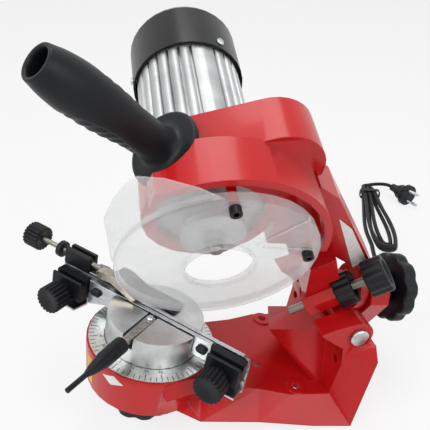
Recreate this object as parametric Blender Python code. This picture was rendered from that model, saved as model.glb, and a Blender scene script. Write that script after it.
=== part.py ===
"""Electric chainsaw sharpener: a bench grinder for saw chain, as separate pieces in their own places.

Blender 4.5, metres, +Z up. The machine leans forward on its swivel knob, as it stands on a table.
"""

import math

import bpy
import bmesh
from mathutils import Matrix, Vector

# Clearances
GAP = 0.0003
RUNNING_GAP = 0.0005
OVERRUN = 0.002
SINK = 0.001
WELD = 0.00001

# Steps round a turned piece
FINE_STEPS = 32
ROUND_STEPS = 20
SMALL_STEPS = 12
RIB_STEPS = 2
LOBE_STEPS = 4

# How the machine stands: leant forward on its knob, with the table point below its middle as origin
LEAN = math.radians(12.19)
STAND_PLACE = (0.0506, -0.0862, 0)

# Base casting: X across, Y to the rear, origin on the turntable's axis, Z up from its underside
PIVOT_REACH = 0.176
REAR_STEP = 0.014
BASE_REAR = PIVOT_REACH + REAR_STEP
BASE_HALF_WIDTH = 0.084
BASE_FLOOR = 0.021
BASE_FLOOR_HALF = 0.060
BASE_SKIN = 0.005
NOSE_RADIUS = 0.0575
NOSE_TOP = 0.0425
NOSE_FILLET = 0.004
NOSE_FOOT_END = math.radians(-56)
WALL_DEPTH = 0.020
WALL_FRONT = BASE_REAR - WALL_DEPTH
WALL_HALF = 0.062
WALL_TOP = 0.090
BASE_FOOT_SHARES = ((0.44, -0.23), (0.476, -0.063), (0.595, 0.09), (0.798, 0.216), (0.857, 0.51), (0.96, 0.79), (1.0, 1.0))
BASE_TABLE_SHARES = ((0.3, -0.2), (0.45, 0.02), (0.62, 0.17), (0.77, 0.36), (0.85, 0.52), (1.0, 0.68), (1.03, 1.0))
WALL_BACK_SHARES = ((1.0, 0.0), (0.985, 0.9), (0.86, 1.02))
WALL_FACE_SHARES = ((0.97, 0.0), (1.0, 0.75), (0.82, 1.0))
STOP_TOP = 0.0705
STOP_NEAR = 0.024
STOP_FAR = 0.012
STOP_STEP = 0.070
STOP_FRONT = PIVOT_REACH - STOP_STEP
STOP_FOOT_NEAR = 0.044
STOP_FOOT_FAR = 0.030
STOP_FOOT_STEP = 0.010
STOP_FOOT_FRONT = WALL_FRONT - STOP_FOOT_STEP
BENCH_HOLE_RADIUS = 0.0042
BENCH_HOLE_SPREAD = 0.0507
BENCH_HOLE_REACH = 0.138
BENCH_BOSS_RADIUS = 0.010
BENCH_BOSS_RISE = 0.0015
MIDDLE_HOLE_SIDE = 0.018
MIDDLE_HOLE_REACH = 0.108
WALL_HOLE_RADIUS = 0.0042
WALL_HOLE_SPREAD = 0.0504
WALL_HOLE_HEIGHT = 0.0566
WALL_BOSS_RADIUS = 0.011
WEDGE_TURN = math.radians(17)
WEDGE_WIDTH = 0.030
WEDGE_INNER = 0.050
WEDGE_OUTER = 0.066
WEDGE_CREST = 0.061
WEDGE_LOW = 0.026
WEDGE_LIP = 0.028

# Swing pivot at the rear lugs, its axis across the machine
PIVOT_HEIGHT = 0.094
LUG_RADIUS = 0.015
LUG_INNER = 0.041
LUG_OUTER = 0.062
LUG_NOSE_STEP = 0.038
LUG_NOSE_REACH = PIVOT_REACH - LUG_NOSE_STEP
LUG_NOSE_RISE = 0.0065
PIVOT_BOLT_RADIUS = 0.006
PIVOT_HEAD_RADIUS = 0.009
PIVOT_HEAD_LENGTH = 0.004
PIVOT_NUT_RADIUS = 0.0095
PIVOT_NUT_LENGTH = 0.007
PIVOT_BOLT_TAIL = 0.0095

# Swing bracket, and the head's tilt axis along the machine
TILT_HEIGHT = 0.107
HEAD_TILT = math.radians(24.54)
BARREL_RADIUS = 0.011
FLANGE_RADIUS = 0.024
FLANGE_STEP = 0.016
FLANGE_FRONT = PIVOT_REACH + FLANGE_STEP
FLANGE_THICKNESS = 0.011
FLANGE_BACK = FLANGE_FRONT + FLANGE_THICKNESS
BRACKET_HALF = 0.018
BRACKET_RISE = 0.008
TILT_BOLT_RADIUS = 0.006
SPRING_RADIUS = 0.0140
SPRING_WIRE = 0.0011
SPRING_CURLS = 3.25
SPRING_POINTS = 10
SPRING_START = math.radians(-32)

# Turntable and scale
TURNTABLE_RADIUS = 0.045
TURNTABLE_TOP = 0.0715
JAW_GROOVE_HALF = 0.0062
LEVER_SLOT_HALF = 0.0055
LEVER_SLOT_FLOOR = 0.060
SCALE_RADIUS = 0.060
SCALE_THICKNESS = 0.0015
SWIVEL_BOLT_RADIUS = 0.005
SWIVEL_KNOB_RADIUS = 0.0345
SWIVEL_KNOB_HEIGHT = 0.020
SWIVEL_NECK_RADIUS = 0.015

# Vise, along its own X from left to right, Y towards the rear jaw
VISE_ANGLE = math.radians(47)
CHAIN_SLOT = 0.0016
JAW_THICKNESS = 0.004
JAW_TOP = 0.0727
FRONT_JAW_LEFT = 0.0755
FRONT_JAW_RIGHT = 0.062
FRONT_JAW_BOTTOM = 0.0525
REAR_JAW_LEFT = 0.113
REAR_JAW_RIGHT = 0.099
REAR_JAW_BOTTOM = 0.0405
REAR_JAW_END = 0.034
REAR_JAW_CORNER = 0.008
PIN_RADIUS = 0.0038
PIN_HEIGHT = 0.0625
PIN_LENGTH = 0.0026
PIN_LEFT = 0.066
PIN_RIGHT = 0.054
PIN_SPREAD = 0.0035

# End blocks, their brackets, studs and knobs
BLOCK_LENGTH = 0.036
BLOCK_FRONT = 0.016
BLOCK_TOP = 0.0712
BLOCK_HEIGHT = 0.022
BLOCK_CHANNEL = 0.005
LEFT_BLOCK_INNER = 0.077
RIGHT_BLOCK_INNER = 0.0635
BLOCK_NECK_RADIUS = 0.009
BLOCK_NECK_LENGTH = 0.005
END_KNOB_RADIUS = 0.0138
END_KNOB_LENGTH = 0.017
END_KNOB_HEIGHT = 0.0545
LEFT_KNOB_PLACE = 0.097
RIGHT_KNOB_PLACE = 0.079
END_STUD_RADIUS = 0.003
BRACKET_SHEET = 0.002
END_BRACKET_WIDTH = 0.022
END_BRACKET_FOOT = 0.0385
END_BRACKET_REACH = 0.021
LEFT_BRACKET_PLACE = 0.090
RIGHT_BRACKET_PLACE = 0.088

# Slider block, pawl and its adjusting screw
SLIDER_LEFT = 0.114
SLIDER_RIGHT = 0.083
SLIDER_BACK = 0.015
SLIDER_TOP = 0.0895
SLIDER_FIN = 0.0045
SLIDER_FIN_RISE = 0.005
SCREW_HEIGHT = 0.0825
SCREW_SIDE = 0.0062
SCREW_RADIUS = 0.0026
SCREW_LEFT = 0.146
SCREW_EYE = 0.006
PAWL_KNOB_RADIUS = 0.0128
PAWL_KNOB_LENGTH = 0.018
LOCK_RING_RADIUS = 0.0085
LOCK_RING_LENGTH = 0.0045
LOCK_RING_PLACE = 0.1215
PAWL_PIVOT = 0.0655
PAWL_PIN_RADIUS = 0.002
PAWL_REACH = 0.042
PAWL_DROP = 0.0095
BACKING_RISE = 0.0125
PAWL_WIDTH = 0.0105
PAWL_FRONT = 0.0045
PAWL_LUG = 0.004
PAWL_LUG_DEPTH = 0.003
BACKING_WIDTH = 0.0035
PAWL_UPPER_SHARES = ((-0.1, 0.36), (0.12, 0.58), (0.36, 0.66), (0.6, 0.2), (0.83, -0.35), (1.03, -0.62))
PAWL_LOWER_SHARES = ((0.97, -1.0), (0.86, -0.98), (0.55, -0.5), (0.3, -0.2), (0.0, -0.36), (-0.12, 0.0))
BACKING_SHARES = ((0.28, 0.45), (0.40, 0.93), (0.62, 0.98), (1.12, 0.42), (1.12, -0.05), (0.9, -0.40), (0.3, -0.40))
RAIL_TOP = 0.0770
RAIL_END = 0.046
STOP_BAR_LEFT = 0.029
STOP_BAR_RIGHT = 0.0145
STOP_BAR_FRONT = 0.0068
STOP_BAR_BACK = 0.0262
STOP_BAR_THICKNESS = 0.0032
STOP_BAR_TICKS = 7
TICK_WIDTH = 0.0011
TICK_LENGTH = 0.008
TICK_DEPTH = 0.0008
STOP_SCREW_ALONG = 0.007
STOP_SCREW_ACROSS = 0.0155
STOP_SCREW_RADIUS = 0.0042
STOP_SCREW_HEIGHT = 0.0022

# Clamp lever
CLAMP_SCREW_BACK = 0.0105
CLAMP_SCREW_RADIUS = 0.0036
LEVER_THICKNESS = 0.004
LEVER_HALF_WIDTH = 0.0036
LEVER_LOW = 0.0665
LEVER_ARM_END = 0.052
LEVER_GRIP_END = 0.092
LEVER_TAIL_END = 0.120
LEVER_GRIP_RADIUS = 0.0075
LEVER_TAIL_RADIUS = 0.0022

# Head frame: X is the wheel's axis away from the motor, Y to the rear, Z square to both
WHEEL_REACH = 0.024
WHEEL_RISE = 0.080
HOUSING_RADIUS = 0.091
HOUSING_SKIN = 0.006
HOUSING_FACE = 0.022
HOUSING_BACK = 0.018
BACK_PLATE = 0.006
BODY_RADIUS = 0.0505
SHIELD_STEP = 0.001
SHIELD_RADIUS = BODY_RADIUS - SHIELD_STEP
SHIELD_LEDGE = 0.0035
SHIELD_OPENING = SHIELD_RADIUS - SHIELD_LEDGE
SEAT_WALL = 0.008
SEAT_RADIUS = SHIELD_RADIUS + SEAT_WALL
SEAT_BACK = 0.058
LOBE_RADIUS = 0.036
LOBE_ALONG = 0.036
LOBE_RISE = 0.062
COLUMN_THICKNESS = 0.034
CLAMP_HALF = 0.028
CLAMP_DEPTH = 0.021
CLAMP_BACK = FLANGE_BACK + CLAMP_DEPTH
CLAMP_BOTTOM = 0.036
CLAMP_TOP = 0.022
CLAMP_SLOPE = 0.020
CLAMP_SLOPE_DROP = 0.026
COLUMN_SHARES = (
    (0.348, 0.56), (0.379, 0.30), (0.664, 0.31), (0.839, 0.181), (0.92, 0.158), (0.92, -0.10), (0.985, -0.10),
    (0.99, 0.075), (0.906, 0.20), (0.695, 0.50), (0.602, 0.634), (0.50, 0.78), (0.40, 0.85),
)
HOUSING_START = math.radians(128)
HOUSING_END = math.radians(8)
NOSE_TIP = math.radians(141)

# Wheel guard
GUARD_FACE = 0.0305
GUARD_RADIUS = 0.080
GUARD_SKIN = 0.0022
GUARD_DEPTH = 0.006
HUB_RING_RADIUS = 0.0292
HUB_RING_SKIN = 0.0022
HUB_RING_RISE = 0.0035
GUARD_RIB = 0.0016
GUARD_RIB_RISE = 0.0014
GUARD_RIB_SHARES = (((0.24, 0.385), (0.594, 0.829)), ((0.3275, 0.359), (0.8375, 0.3575)))
FIN_SHARES = (
    (-0.24, 0.975), (-0.50, 1.09), (-0.80, 1.165), (-1.0, 1.163), (-1.07, 1.08), (-1.14, 0.88), (-1.163, 0.725),
    (-1.175, 0.625), (-1.14, 0.475), (-1.09, 0.262), (-1.05, 0.075), (-1.02, 0.0), (-0.85, 0.021),
    (-0.71, 0.037), (-0.60, -0.008), (-0.375, -0.137), (-0.33, -0.30), (0.1, 0.0),
)
SKIRT_SHARES = ((0.10, -0.62), (0.19, -0.70), (0.325, -0.65), (0.54, -0.525), (0.71, -0.40), (0.89, -0.325), (0.84, -0.16), (0.1, -0.1))
GUARD_SCREW_UPPER_SHARES = (-0.144, 0.90)
GUARD_SCREW_REAR_SHARES = (0.8125, 0.29)
GUARD_SCREW_RADIUS = 0.0045
GUARD_SCREW_HEAD = 0.006
GUARD_SCREW_SHANK = 0.0022
SPACER_RADIUS = 0.0038

# Motor, measured back along the wheel's axis from the seat
SHIELD_THICKNESS = 0.007
BODY_FIN = 0.0045
BODY_SKIN = 0.004
BODY_FINS = 26
BODY_BAND = 0.0205
FIN_GAP = 0.0030
COVER_START = 0.181
COVER_STEP = 0.004
COVER_RADIUS = BODY_RADIUS + COVER_STEP
COVER_LENGTH = 0.060
COVER_SKIN = 0.0022
COVER_ROUND = 0.006
COVER_SLOTS = 12
COVER_SLOT_WIDTH = 0.0035
COVER_SLOT_INNER = 0.018
COVER_SLOT_OUTER = 0.040
COVER_SCREW_BACK = 0.009
COVER_SCREW_RADIUS = 0.0042
COVER_SCREW_SHANK = 0.002
COVER_SCREW_TURNS = (math.radians(-20), math.radians(100))
STATOR_STEP = 0.008
STATOR_RADIUS = BODY_RADIUS - STATOR_STEP
STATOR_BUILD = 0.0163
STATOR_BORE = STATOR_RADIUS - STATOR_BUILD
STATOR_LENGTH = 0.040
AIR_GAP = 0.0005
ROTOR_RADIUS = STATOR_BORE - AIR_GAP
ROTOR_LENGTH = 0.042
SPINDLE_RADIUS = 0.006
SPINDLE_NOSE = 0.0050
BEARING_RADIUS = 0.0130
BEARING_LENGTH = 0.009
FAN_STEP = 0.0085
FAN_RADIUS = COVER_RADIUS - FAN_STEP
FAN_LENGTH = 0.014
FAN_HUB = 0.011
FAN_BLADES = 9
BLADE_THICKNESS = 0.0022
WHEEL_FLANGE_RADIUS = 0.027
WHEEL_FLANGE_LENGTH = 0.0065
WHEEL_FLANGE_BACK = 0.003
SPINDLE_NUT_RADIUS = 0.0095
SPINDLE_NUT_LENGTH = 0.006
SPINDLE_END = 0.0185
LOBE_WALL = 0.004
ROCKER_LENGTH = 0.0184
ROCKER_WIDTH = 0.012
ROCKER_PROUD = 0.0025
ROCKER_INSET = 0.004
ROCKER_DEPTH = 0.009
ROCKER_DIP = 0.003
ROCKER_SLACK = 0.0015

# Head knobs, handle and depth stop
TILT_KNOB_RADIUS = 0.036
TILT_KNOB_LENGTH = 0.0145
TILT_KNOB_STEP = 0.0135
TILT_KNOB_START = CLAMP_BACK + TILT_KNOB_STEP
TILT_KNOB_LOBES = 10
TILT_KNOB_SCALLOP = 0.0022
TILT_KNOB_NECK = 0.016
HANDLE_RISE = math.radians(37.5)
HANDLE_LEAN = math.radians(7.5)
HANDLE_ALONG = -0.0215
HANDLE_UP = 0.1345
HANDLE_SIDE = 0.030
HANDLE_FLANGE_RADIUS = 0.030
HANDLE_FLANGE_LENGTH = 0.013
HANDLE_LENGTH = 0.107
HANDLE_ROOT_RADIUS = 0.0140
HANDLE_BELLY_RADIUS = 0.0180
HANDLE_END_RADIUS = 0.0130
HANDLE_BORE = 0.0095
HANDLE_BORE_DEPTH = 0.030
HANDLE_STUD_RADIUS = 0.005
HANDLE_BOSS_RADIUS = 0.013
HANDLE_BOSS_LENGTH = 0.020
DEPTH_TIP_STEP = 0.047
DEPTH_TIP_ALONG = PIVOT_REACH - DEPTH_TIP_STEP
DEPTH_TIP_RISE = -0.018
DEPTH_SIDE = 0.020
DEPTH_ANGLE = math.radians(50.3)
DEPTH_ROD_RADIUS = 0.004
DEPTH_ROD_LENGTH = 0.0925
DEPTH_BOSS_RADIUS = 0.013
DEPTH_BOSS_START = 0.020
DEPTH_BOSS_LENGTH = 0.032
DEPTH_LOCK_RADIUS = 0.0165
DEPTH_LOCK_LENGTH = 0.017
DEPTH_KNOB_RADIUS = 0.0178
DEPTH_KNOB_LENGTH = 0.020
DEPTH_WEB_NEAR = 0.002
DEPTH_WEB_FAR = 0.024
DEPTH_WEB_SHARES = ((-1.0, 0.91), (-1.0, 1.36), (-0.34, 1.14), (-0.34, 0.94), (0.236, 0.94), (0.236, 0.364), (-0.09, 0.364))
DEPTH_WEB_REACH = 0.055

# Mains lead: it leaves the rear wall low down and lies on the table behind the machine
CORD_RADIUS = 0.003
CORD_REST = 0.0032
CORD_INSET = 0.004
GLAND_SIDE = 0.044
GLAND_HEIGHT = 0.011
GLAND_SHANK = 0.0052
GLAND_FLANGE = 0.0075
GLAND_FLANGE_LENGTH = 0.0025
GLAND_NOZZLE = 0.0046
GLAND_NOZZLE_LENGTH = 0.015
GLAND_INNER = 0.163
CORD_ROUTE = ((-0.050, 0.252), (-0.074, 0.292), (-0.112, 0.327))

# Hank of the lead, in its own frame: X from the open end to the tied end
HANK_PLACE = (-0.168, 0.376)
HANK_TURN = math.radians(159.7)
HANK_LENGTH = 0.215
HANK_TIE_REACH = 0.180
HANK_OPEN_REACH = 0.040
HANK_TURNS = 2
HANK_POINTS = 24
HANK_START_SHARE = 0.13
HANK_END_SHARE = 3.5
HANK_END_STEP = 0.0105
HANK_FAR_STEP = 0.0105
HANK_SIDE_STEP = 0.0088
HANK_WAIST_STEP = 0.0086
HANK_CORE = 0.0095
HANK_WAIST_CORE = 0.0006
HANK_FLARE_SHARE = 0.5
HANK_ROUND_SHARE = 0.5
HANK_LAYER = 0.0068
HANK_LIFT = 0.0016
HANK_LIFT_REACH = 0.022
HANK_TAIL = ((0.2105, -0.013, 0.0125), (0.2030, -0.0265, 0.0165))
TIE_WIDTH = 0.008
TIE_THICKNESS = 0.0012
TIE_CORNER = 0.0040

# Plug: round grip with two pins, lying beside the hank
PLUG_PLACE = (0.191, -0.0375)
PLUG_TURN = math.radians(214.2)
PLUG_FACE_RADIUS = 0.0175
PLUG_FACE_LENGTH = 0.009
PLUG_GRIP_RADIUS = 0.0125
PLUG_TAIL_RADIUS = 0.0062
PLUG_LENGTH = 0.038
PIN_SPACING = 0.019
PLUG_PIN_RADIUS = 0.0024
PLUG_PIN_LENGTH = 0.019


def clear_scene():
    for obj in list(bpy.data.objects):
        bpy.data.objects.remove(obj, do_unlink=True)


def material(name, colour, roughness, metallic=0.0, alpha=1.0):
    made = bpy.data.materials.new(name)
    made.use_nodes = True
    shader = made.node_tree.nodes["Principled BSDF"]
    shader.inputs["Base Color"].default_value = (*colour, 1.0)
    shader.inputs["Roughness"].default_value = roughness
    shader.inputs["Metallic"].default_value = metallic
    shader.inputs["Alpha"].default_value = alpha
    return made


def frame(name, parent=None, place=(0, 0, 0), turn=(0, 0, 0)):
    """An empty that carries a group of pieces."""
    empty = bpy.data.objects.new(name, None)
    bpy.context.scene.collection.objects.link(empty)
    empty.parent = parent
    empty.location = place
    empty.rotation_euler = turn
    return empty


def finish_mesh(shape, name, sharp=math.radians(32)):
    bmesh.ops.remove_doubles(shape, verts=shape.verts, dist=WELD)
    bmesh.ops.recalc_face_normals(shape, faces=shape.faces)
    mesh = bpy.data.meshes.new(name)
    shape.to_mesh(mesh)
    shape.free()
    mesh.shade_smooth()
    mesh.set_sharp_from_angle(angle=sharp)
    return mesh


def piece(name, mesh, parent, look=None, place=(0, 0, 0), turn=(0, 0, 0)):
    """A visible node."""
    obj = bpy.data.objects.new(name, mesh)
    bpy.context.scene.collection.objects.link(obj)
    obj.parent = parent
    obj.location = place
    obj.rotation_euler = turn
    if look:
        mesh.materials.append(look)
    return obj


def helper(name, mesh, parent, place=(0, 0, 0), turn=(0, 0, 0)):
    """A hidden shape that joins or cuts a node."""
    obj = piece(name, mesh, parent, None, place, turn)
    obj.hide_render = True
    obj.display_type = "WIRE"
    return obj


def boolean(target, tool, operation):
    modifier = target.modifiers.new(tool.name, "BOOLEAN")
    modifier.operation = operation
    modifier.solver = "EXACT"
    modifier.object = tool
    return modifier


def cut(target, *tools):
    for tool in tools:
        boolean(target, tool, "DIFFERENCE")


def join(target, *tools):
    for tool in tools:
        boolean(target, tool, "UNION")


PLANES = {
    "xy": Matrix(((1, 0, 0), (0, 1, 0), (0, 0, 1))),
    "yz": Matrix(((0, 0, 1), (1, 0, 0), (0, 1, 0))),
    "xz": Matrix(((1, 0, 0), (0, 0, 1), (0, 1, 0))),
}


def prism(name, outline, low, high, plane="xy"):
    """An outline in a plane, carried from low to high along the plane's third axis."""
    shape = bmesh.new()
    turned_axes = PLANES[plane]
    corners = [shape.verts.new(turned_axes @ Vector((u, v, low))) for u, v in outline]
    face = shape.faces.new(corners)
    carried = bmesh.ops.extrude_face_region(shape, geom=[face])
    moved = [item for item in carried["geom"] if isinstance(item, bmesh.types.BMVert)]
    bmesh.ops.translate(shape, verts=moved, vec=turned_axes @ Vector((0, 0, high - low)))
    return finish_mesh(shape, name)


def loft(name, rings):
    """Closed rings of as many points each, bridged in turn and capped at both ends."""
    shape = bmesh.new()
    made = [[shape.verts.new(point) for point in ring] for ring in rings]
    for lower, upper in zip(made, made[1:]):
        for i in range(len(lower)):
            j = (i + 1) % len(lower)
            shape.faces.new((lower[i], lower[j], upper[j], upper[i]))
    shape.faces.new(made[0][::-1])
    shape.faces.new(made[-1])
    return finish_mesh(shape, name)


AXES = {
    "z": Matrix(((1, 0, 0), (0, 1, 0), (0, 0, 1))),
    "x": Matrix(((0, 0, 1), (1, 0, 0), (0, 1, 0))),
    "y": Matrix(((1, 0, 0), (0, 0, 1), (0, 1, 0))),
}


def turned(name, profile, steps=ROUND_STEPS, axis="z", place=(0, 0, 0)):
    """A closed profile of (radius, along) points, spun round an axis."""
    shape = bmesh.new()
    corners = [shape.verts.new((radius, 0, along)) for radius, along in profile]
    edges = [shape.edges.new((corners[i], corners[(i + 1) % len(corners)])) for i in range(len(corners))]
    bmesh.ops.spin(
        shape,
        geom=corners + edges,
        cent=(0, 0, 0),
        axis=(0, 0, 1),
        dvec=(0, 0, 0),
        angle=math.tau,
        steps=steps,
        use_merge=True,
        use_duplicate=False,
    )
    bmesh.ops.remove_doubles(shape, verts=shape.verts, dist=WELD)
    bmesh.ops.dissolve_degenerate(shape, edges=shape.edges, dist=WELD)
    loose = [edge for edge in shape.edges if not edge.link_faces]
    bmesh.ops.delete(shape, geom=loose, context="EDGES")
    bmesh.ops.transform(shape, matrix=AXES[axis].to_4x4(), verts=shape.verts)
    bmesh.ops.translate(shape, verts=shape.verts, vec=place)
    return finish_mesh(shape, name)


def rod(name, radius, low, high, steps=SMALL_STEPS, axis="z", place=(0, 0, 0), edge=0.0):
    """A round bar, with chamfered ends where edge is given."""
    if edge:
        profile = ((0, low), (radius - edge, low), (radius, low + edge), (radius, high - edge), (radius - edge, high), (0, high))
    else:
        profile = ((0, low), (radius, low), (radius, high), (0, high))
    return turned(name, profile, steps, axis, place)


def tube(name, outer, inner, low, high, steps=ROUND_STEPS, axis="z", place=(0, 0, 0)):
    return turned(name, ((inner, low), (outer, low), (outer, high), (inner, high)), steps, axis, place)


def box(name, low, high):
    outline = ((low[0], low[1]), (high[0], low[1]), (high[0], high[1]), (low[0], high[1]))
    return prism(name, outline, low[2], high[2])


def arc(radius, start, end, count, centre=(0, 0)):
    """Points round a circle from one angle to another, both ends included."""
    step = (end - start) / (count - 1)
    return [
        (centre[0] + radius * math.cos(start + i * step), centre[1] + radius * math.sin(start + i * step))
        for i in range(count)
    ]


def circle(radius, count, centre=(0, 0)):
    return arc(radius, 0, math.tau * (count - 1) / count, count, centre)


def scaled(shares, width, height):
    return [(u * width, v * height) for u, v in shares]


def lobe_ring(radius, depth, lobes, samples):
    """A circle drawn in between lobes."""
    ring = []
    for i in range(lobes * samples):
        angle = math.tau * i / (lobes * samples)
        reach = radius - depth * (0.5 - 0.5 * math.cos(angle * lobes)) ** 2
        ring.append((reach * math.cos(angle), reach * math.sin(angle)))
    return ring


def lobed(name, radius, depth, lobes, low, high, edge, samples=LOBE_STEPS, axis="z"):
    """A knob's grip: round, with its rim drawn in between lobes, chamfered at both ends."""
    rings = []
    for along, inset in ((low, edge), (low + edge, 0), (high - edge, 0), (high, edge)):
        ring = lobe_ring(radius - inset, depth, lobes, samples)
        rings.append([AXES[axis] @ Vector((u, v, along)) for u, v in ring])
    return loft(name, rings)


def bevelled(obj, width, segments=2, angle=math.radians(40)):
    modifier = obj.modifiers.new("edges", "BEVEL")
    modifier.width = width
    modifier.segments = segments
    modifier.limit_method = "ANGLE"
    modifier.angle_limit = angle
    modifier.use_clamp_overlap = True
    return obj


def mirrored(outline):
    """An outline's right half from front to rear, and its left half back again."""
    return list(outline) + [(-u, v) for u, v in reversed(outline)]


def rounded(low_u, high_u, low_v, high_v, corner):
    """A rectangle with rounded corners."""
    quarter = math.pi / 2
    return (
        arc(corner, 0, quarter, 5, (high_u - corner, high_v - corner))
        + arc(corner, quarter, quarter * 2, 5, (low_u + corner, high_v - corner))
        + arc(corner, quarter * 2, quarter * 3, 5, (low_u + corner, low_v + corner))
        + arc(corner, quarter * 3, quarter * 4, 5, (high_u - corner, low_v + corner))
    )


def smooth(points, spacing):
    """A curve through the points, with even steps along it."""
    ends = [points[0] * 2 - points[1], *points, points[-1] * 2 - points[-2]]
    fine = []
    for before, start, end, after in zip(ends, ends[1:], ends[2:], ends[3:]):
        pull = (end - start).length / 2
        leave = (end - before).normalized() * pull
        reach = (after - start).normalized() * pull
        for i in range(32):
            t = i / 32
            fine.append(
                start * (2 * t ** 3 - 3 * t * t + 1) + leave * (t ** 3 - 2 * t * t + t) * 2
                + end * (3 * t * t - 2 * t ** 3) + reach * (t ** 3 - t * t) * 2
            )
    fine.append(points[-1].copy())
    total = length_of(fine)
    count = max(2, round(total / spacing))
    made, walked, target = [fine[0]], 0.0, total / count
    for start, end in zip(fine, fine[1:]):
        step = (end - start).length
        while len(made) < count and walked + step >= target * len(made):
            made.append(start.lerp(end, (target * len(made) - walked) / step))
        walked += step
    return made + [fine[-1]]


def length_of(points):
    return sum((end - start).length for start, end in zip(points, points[1:]))


def least_gap(points, radius):
    """Least distance between a tube's own surfaces, away from its neighbouring stretch."""
    beads, walked = [], []
    along = 0.0
    for start, end in zip(points, points[1:]):
        step = (end - start).length
        count = max(1, round(step / radius))
        beads += [start.lerp(end, i / count) for i in range(count)]
        walked += [along + step * i / count for i in range(count)]
        along += step
    least = min(
        (beads[i] - beads[j]).length
        for i in range(len(beads))
        for j in range(i)
        if walked[i] - walked[j] > radius * math.tau
    )
    return round(least - radius * 2, 5)


def cord_piece(name, points, radius, sides, parent, look):
    """A round tube along points, with closed ends."""
    curve = bpy.data.curves.new(name, "CURVE")
    curve.dimensions = "3D"
    curve.bevel_depth = radius
    curve.bevel_resolution = sides
    curve.use_fill_caps = True
    spline = curve.splines.new("POLY")
    spline.points.add(len(points) - 1)
    for target, point in zip(spline.points, points):
        target.co = (*point, 1)
    return piece(name, curve, parent, look)


def hank_point(turn):
    """A point of the hank's loops: turns count from the open end, inwards below and outwards above."""
    inward = turn if turn < HANK_TURNS else HANK_TURNS * 2 - turn
    angle = math.tau * turn
    near = inward * HANK_END_STEP
    far = HANK_LENGTH - inward * HANK_FAR_STEP
    along = (near + far) / 2 - (far - near) / 2 * math.cos(angle)
    if along < HANK_TIE_REACH:
        drawn = max(0.0, (along - HANK_OPEN_REACH) / (HANK_TIE_REACH - HANK_OPEN_REACH))
        spread = 0.5 + 0.5 * math.cos(math.pi * drawn)
    else:
        drawn = (along - HANK_TIE_REACH) / (HANK_LENGTH - HANK_TIE_REACH)
        spread = HANK_FLARE_SHARE * (0.5 - 0.5 * math.cos(math.pi * drawn))
    core = HANK_WAIST_CORE + (HANK_CORE - HANK_WAIST_CORE) * spread
    step = HANK_WAIST_STEP + (HANK_SIDE_STEP - HANK_WAIST_STEP) * spread
    reach = core + (HANK_TURNS - inward) * step
    side = math.copysign(abs(math.sin(angle)) ** HANK_ROUND_SHARE, math.sin(angle))
    climbed = min(1.0, max(0.0, (turn - HANK_TURNS) * 2 + 0.5))
    climb = climbed * climbed * (3 - 2 * climbed)
    lift = HANK_LIFT * math.exp(-(((along - HANK_TIE_REACH) / HANK_LIFT_REACH) ** 2))
    return Vector((along, side * reach, CORD_REST + HANK_LAYER * climb + lift))


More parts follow.
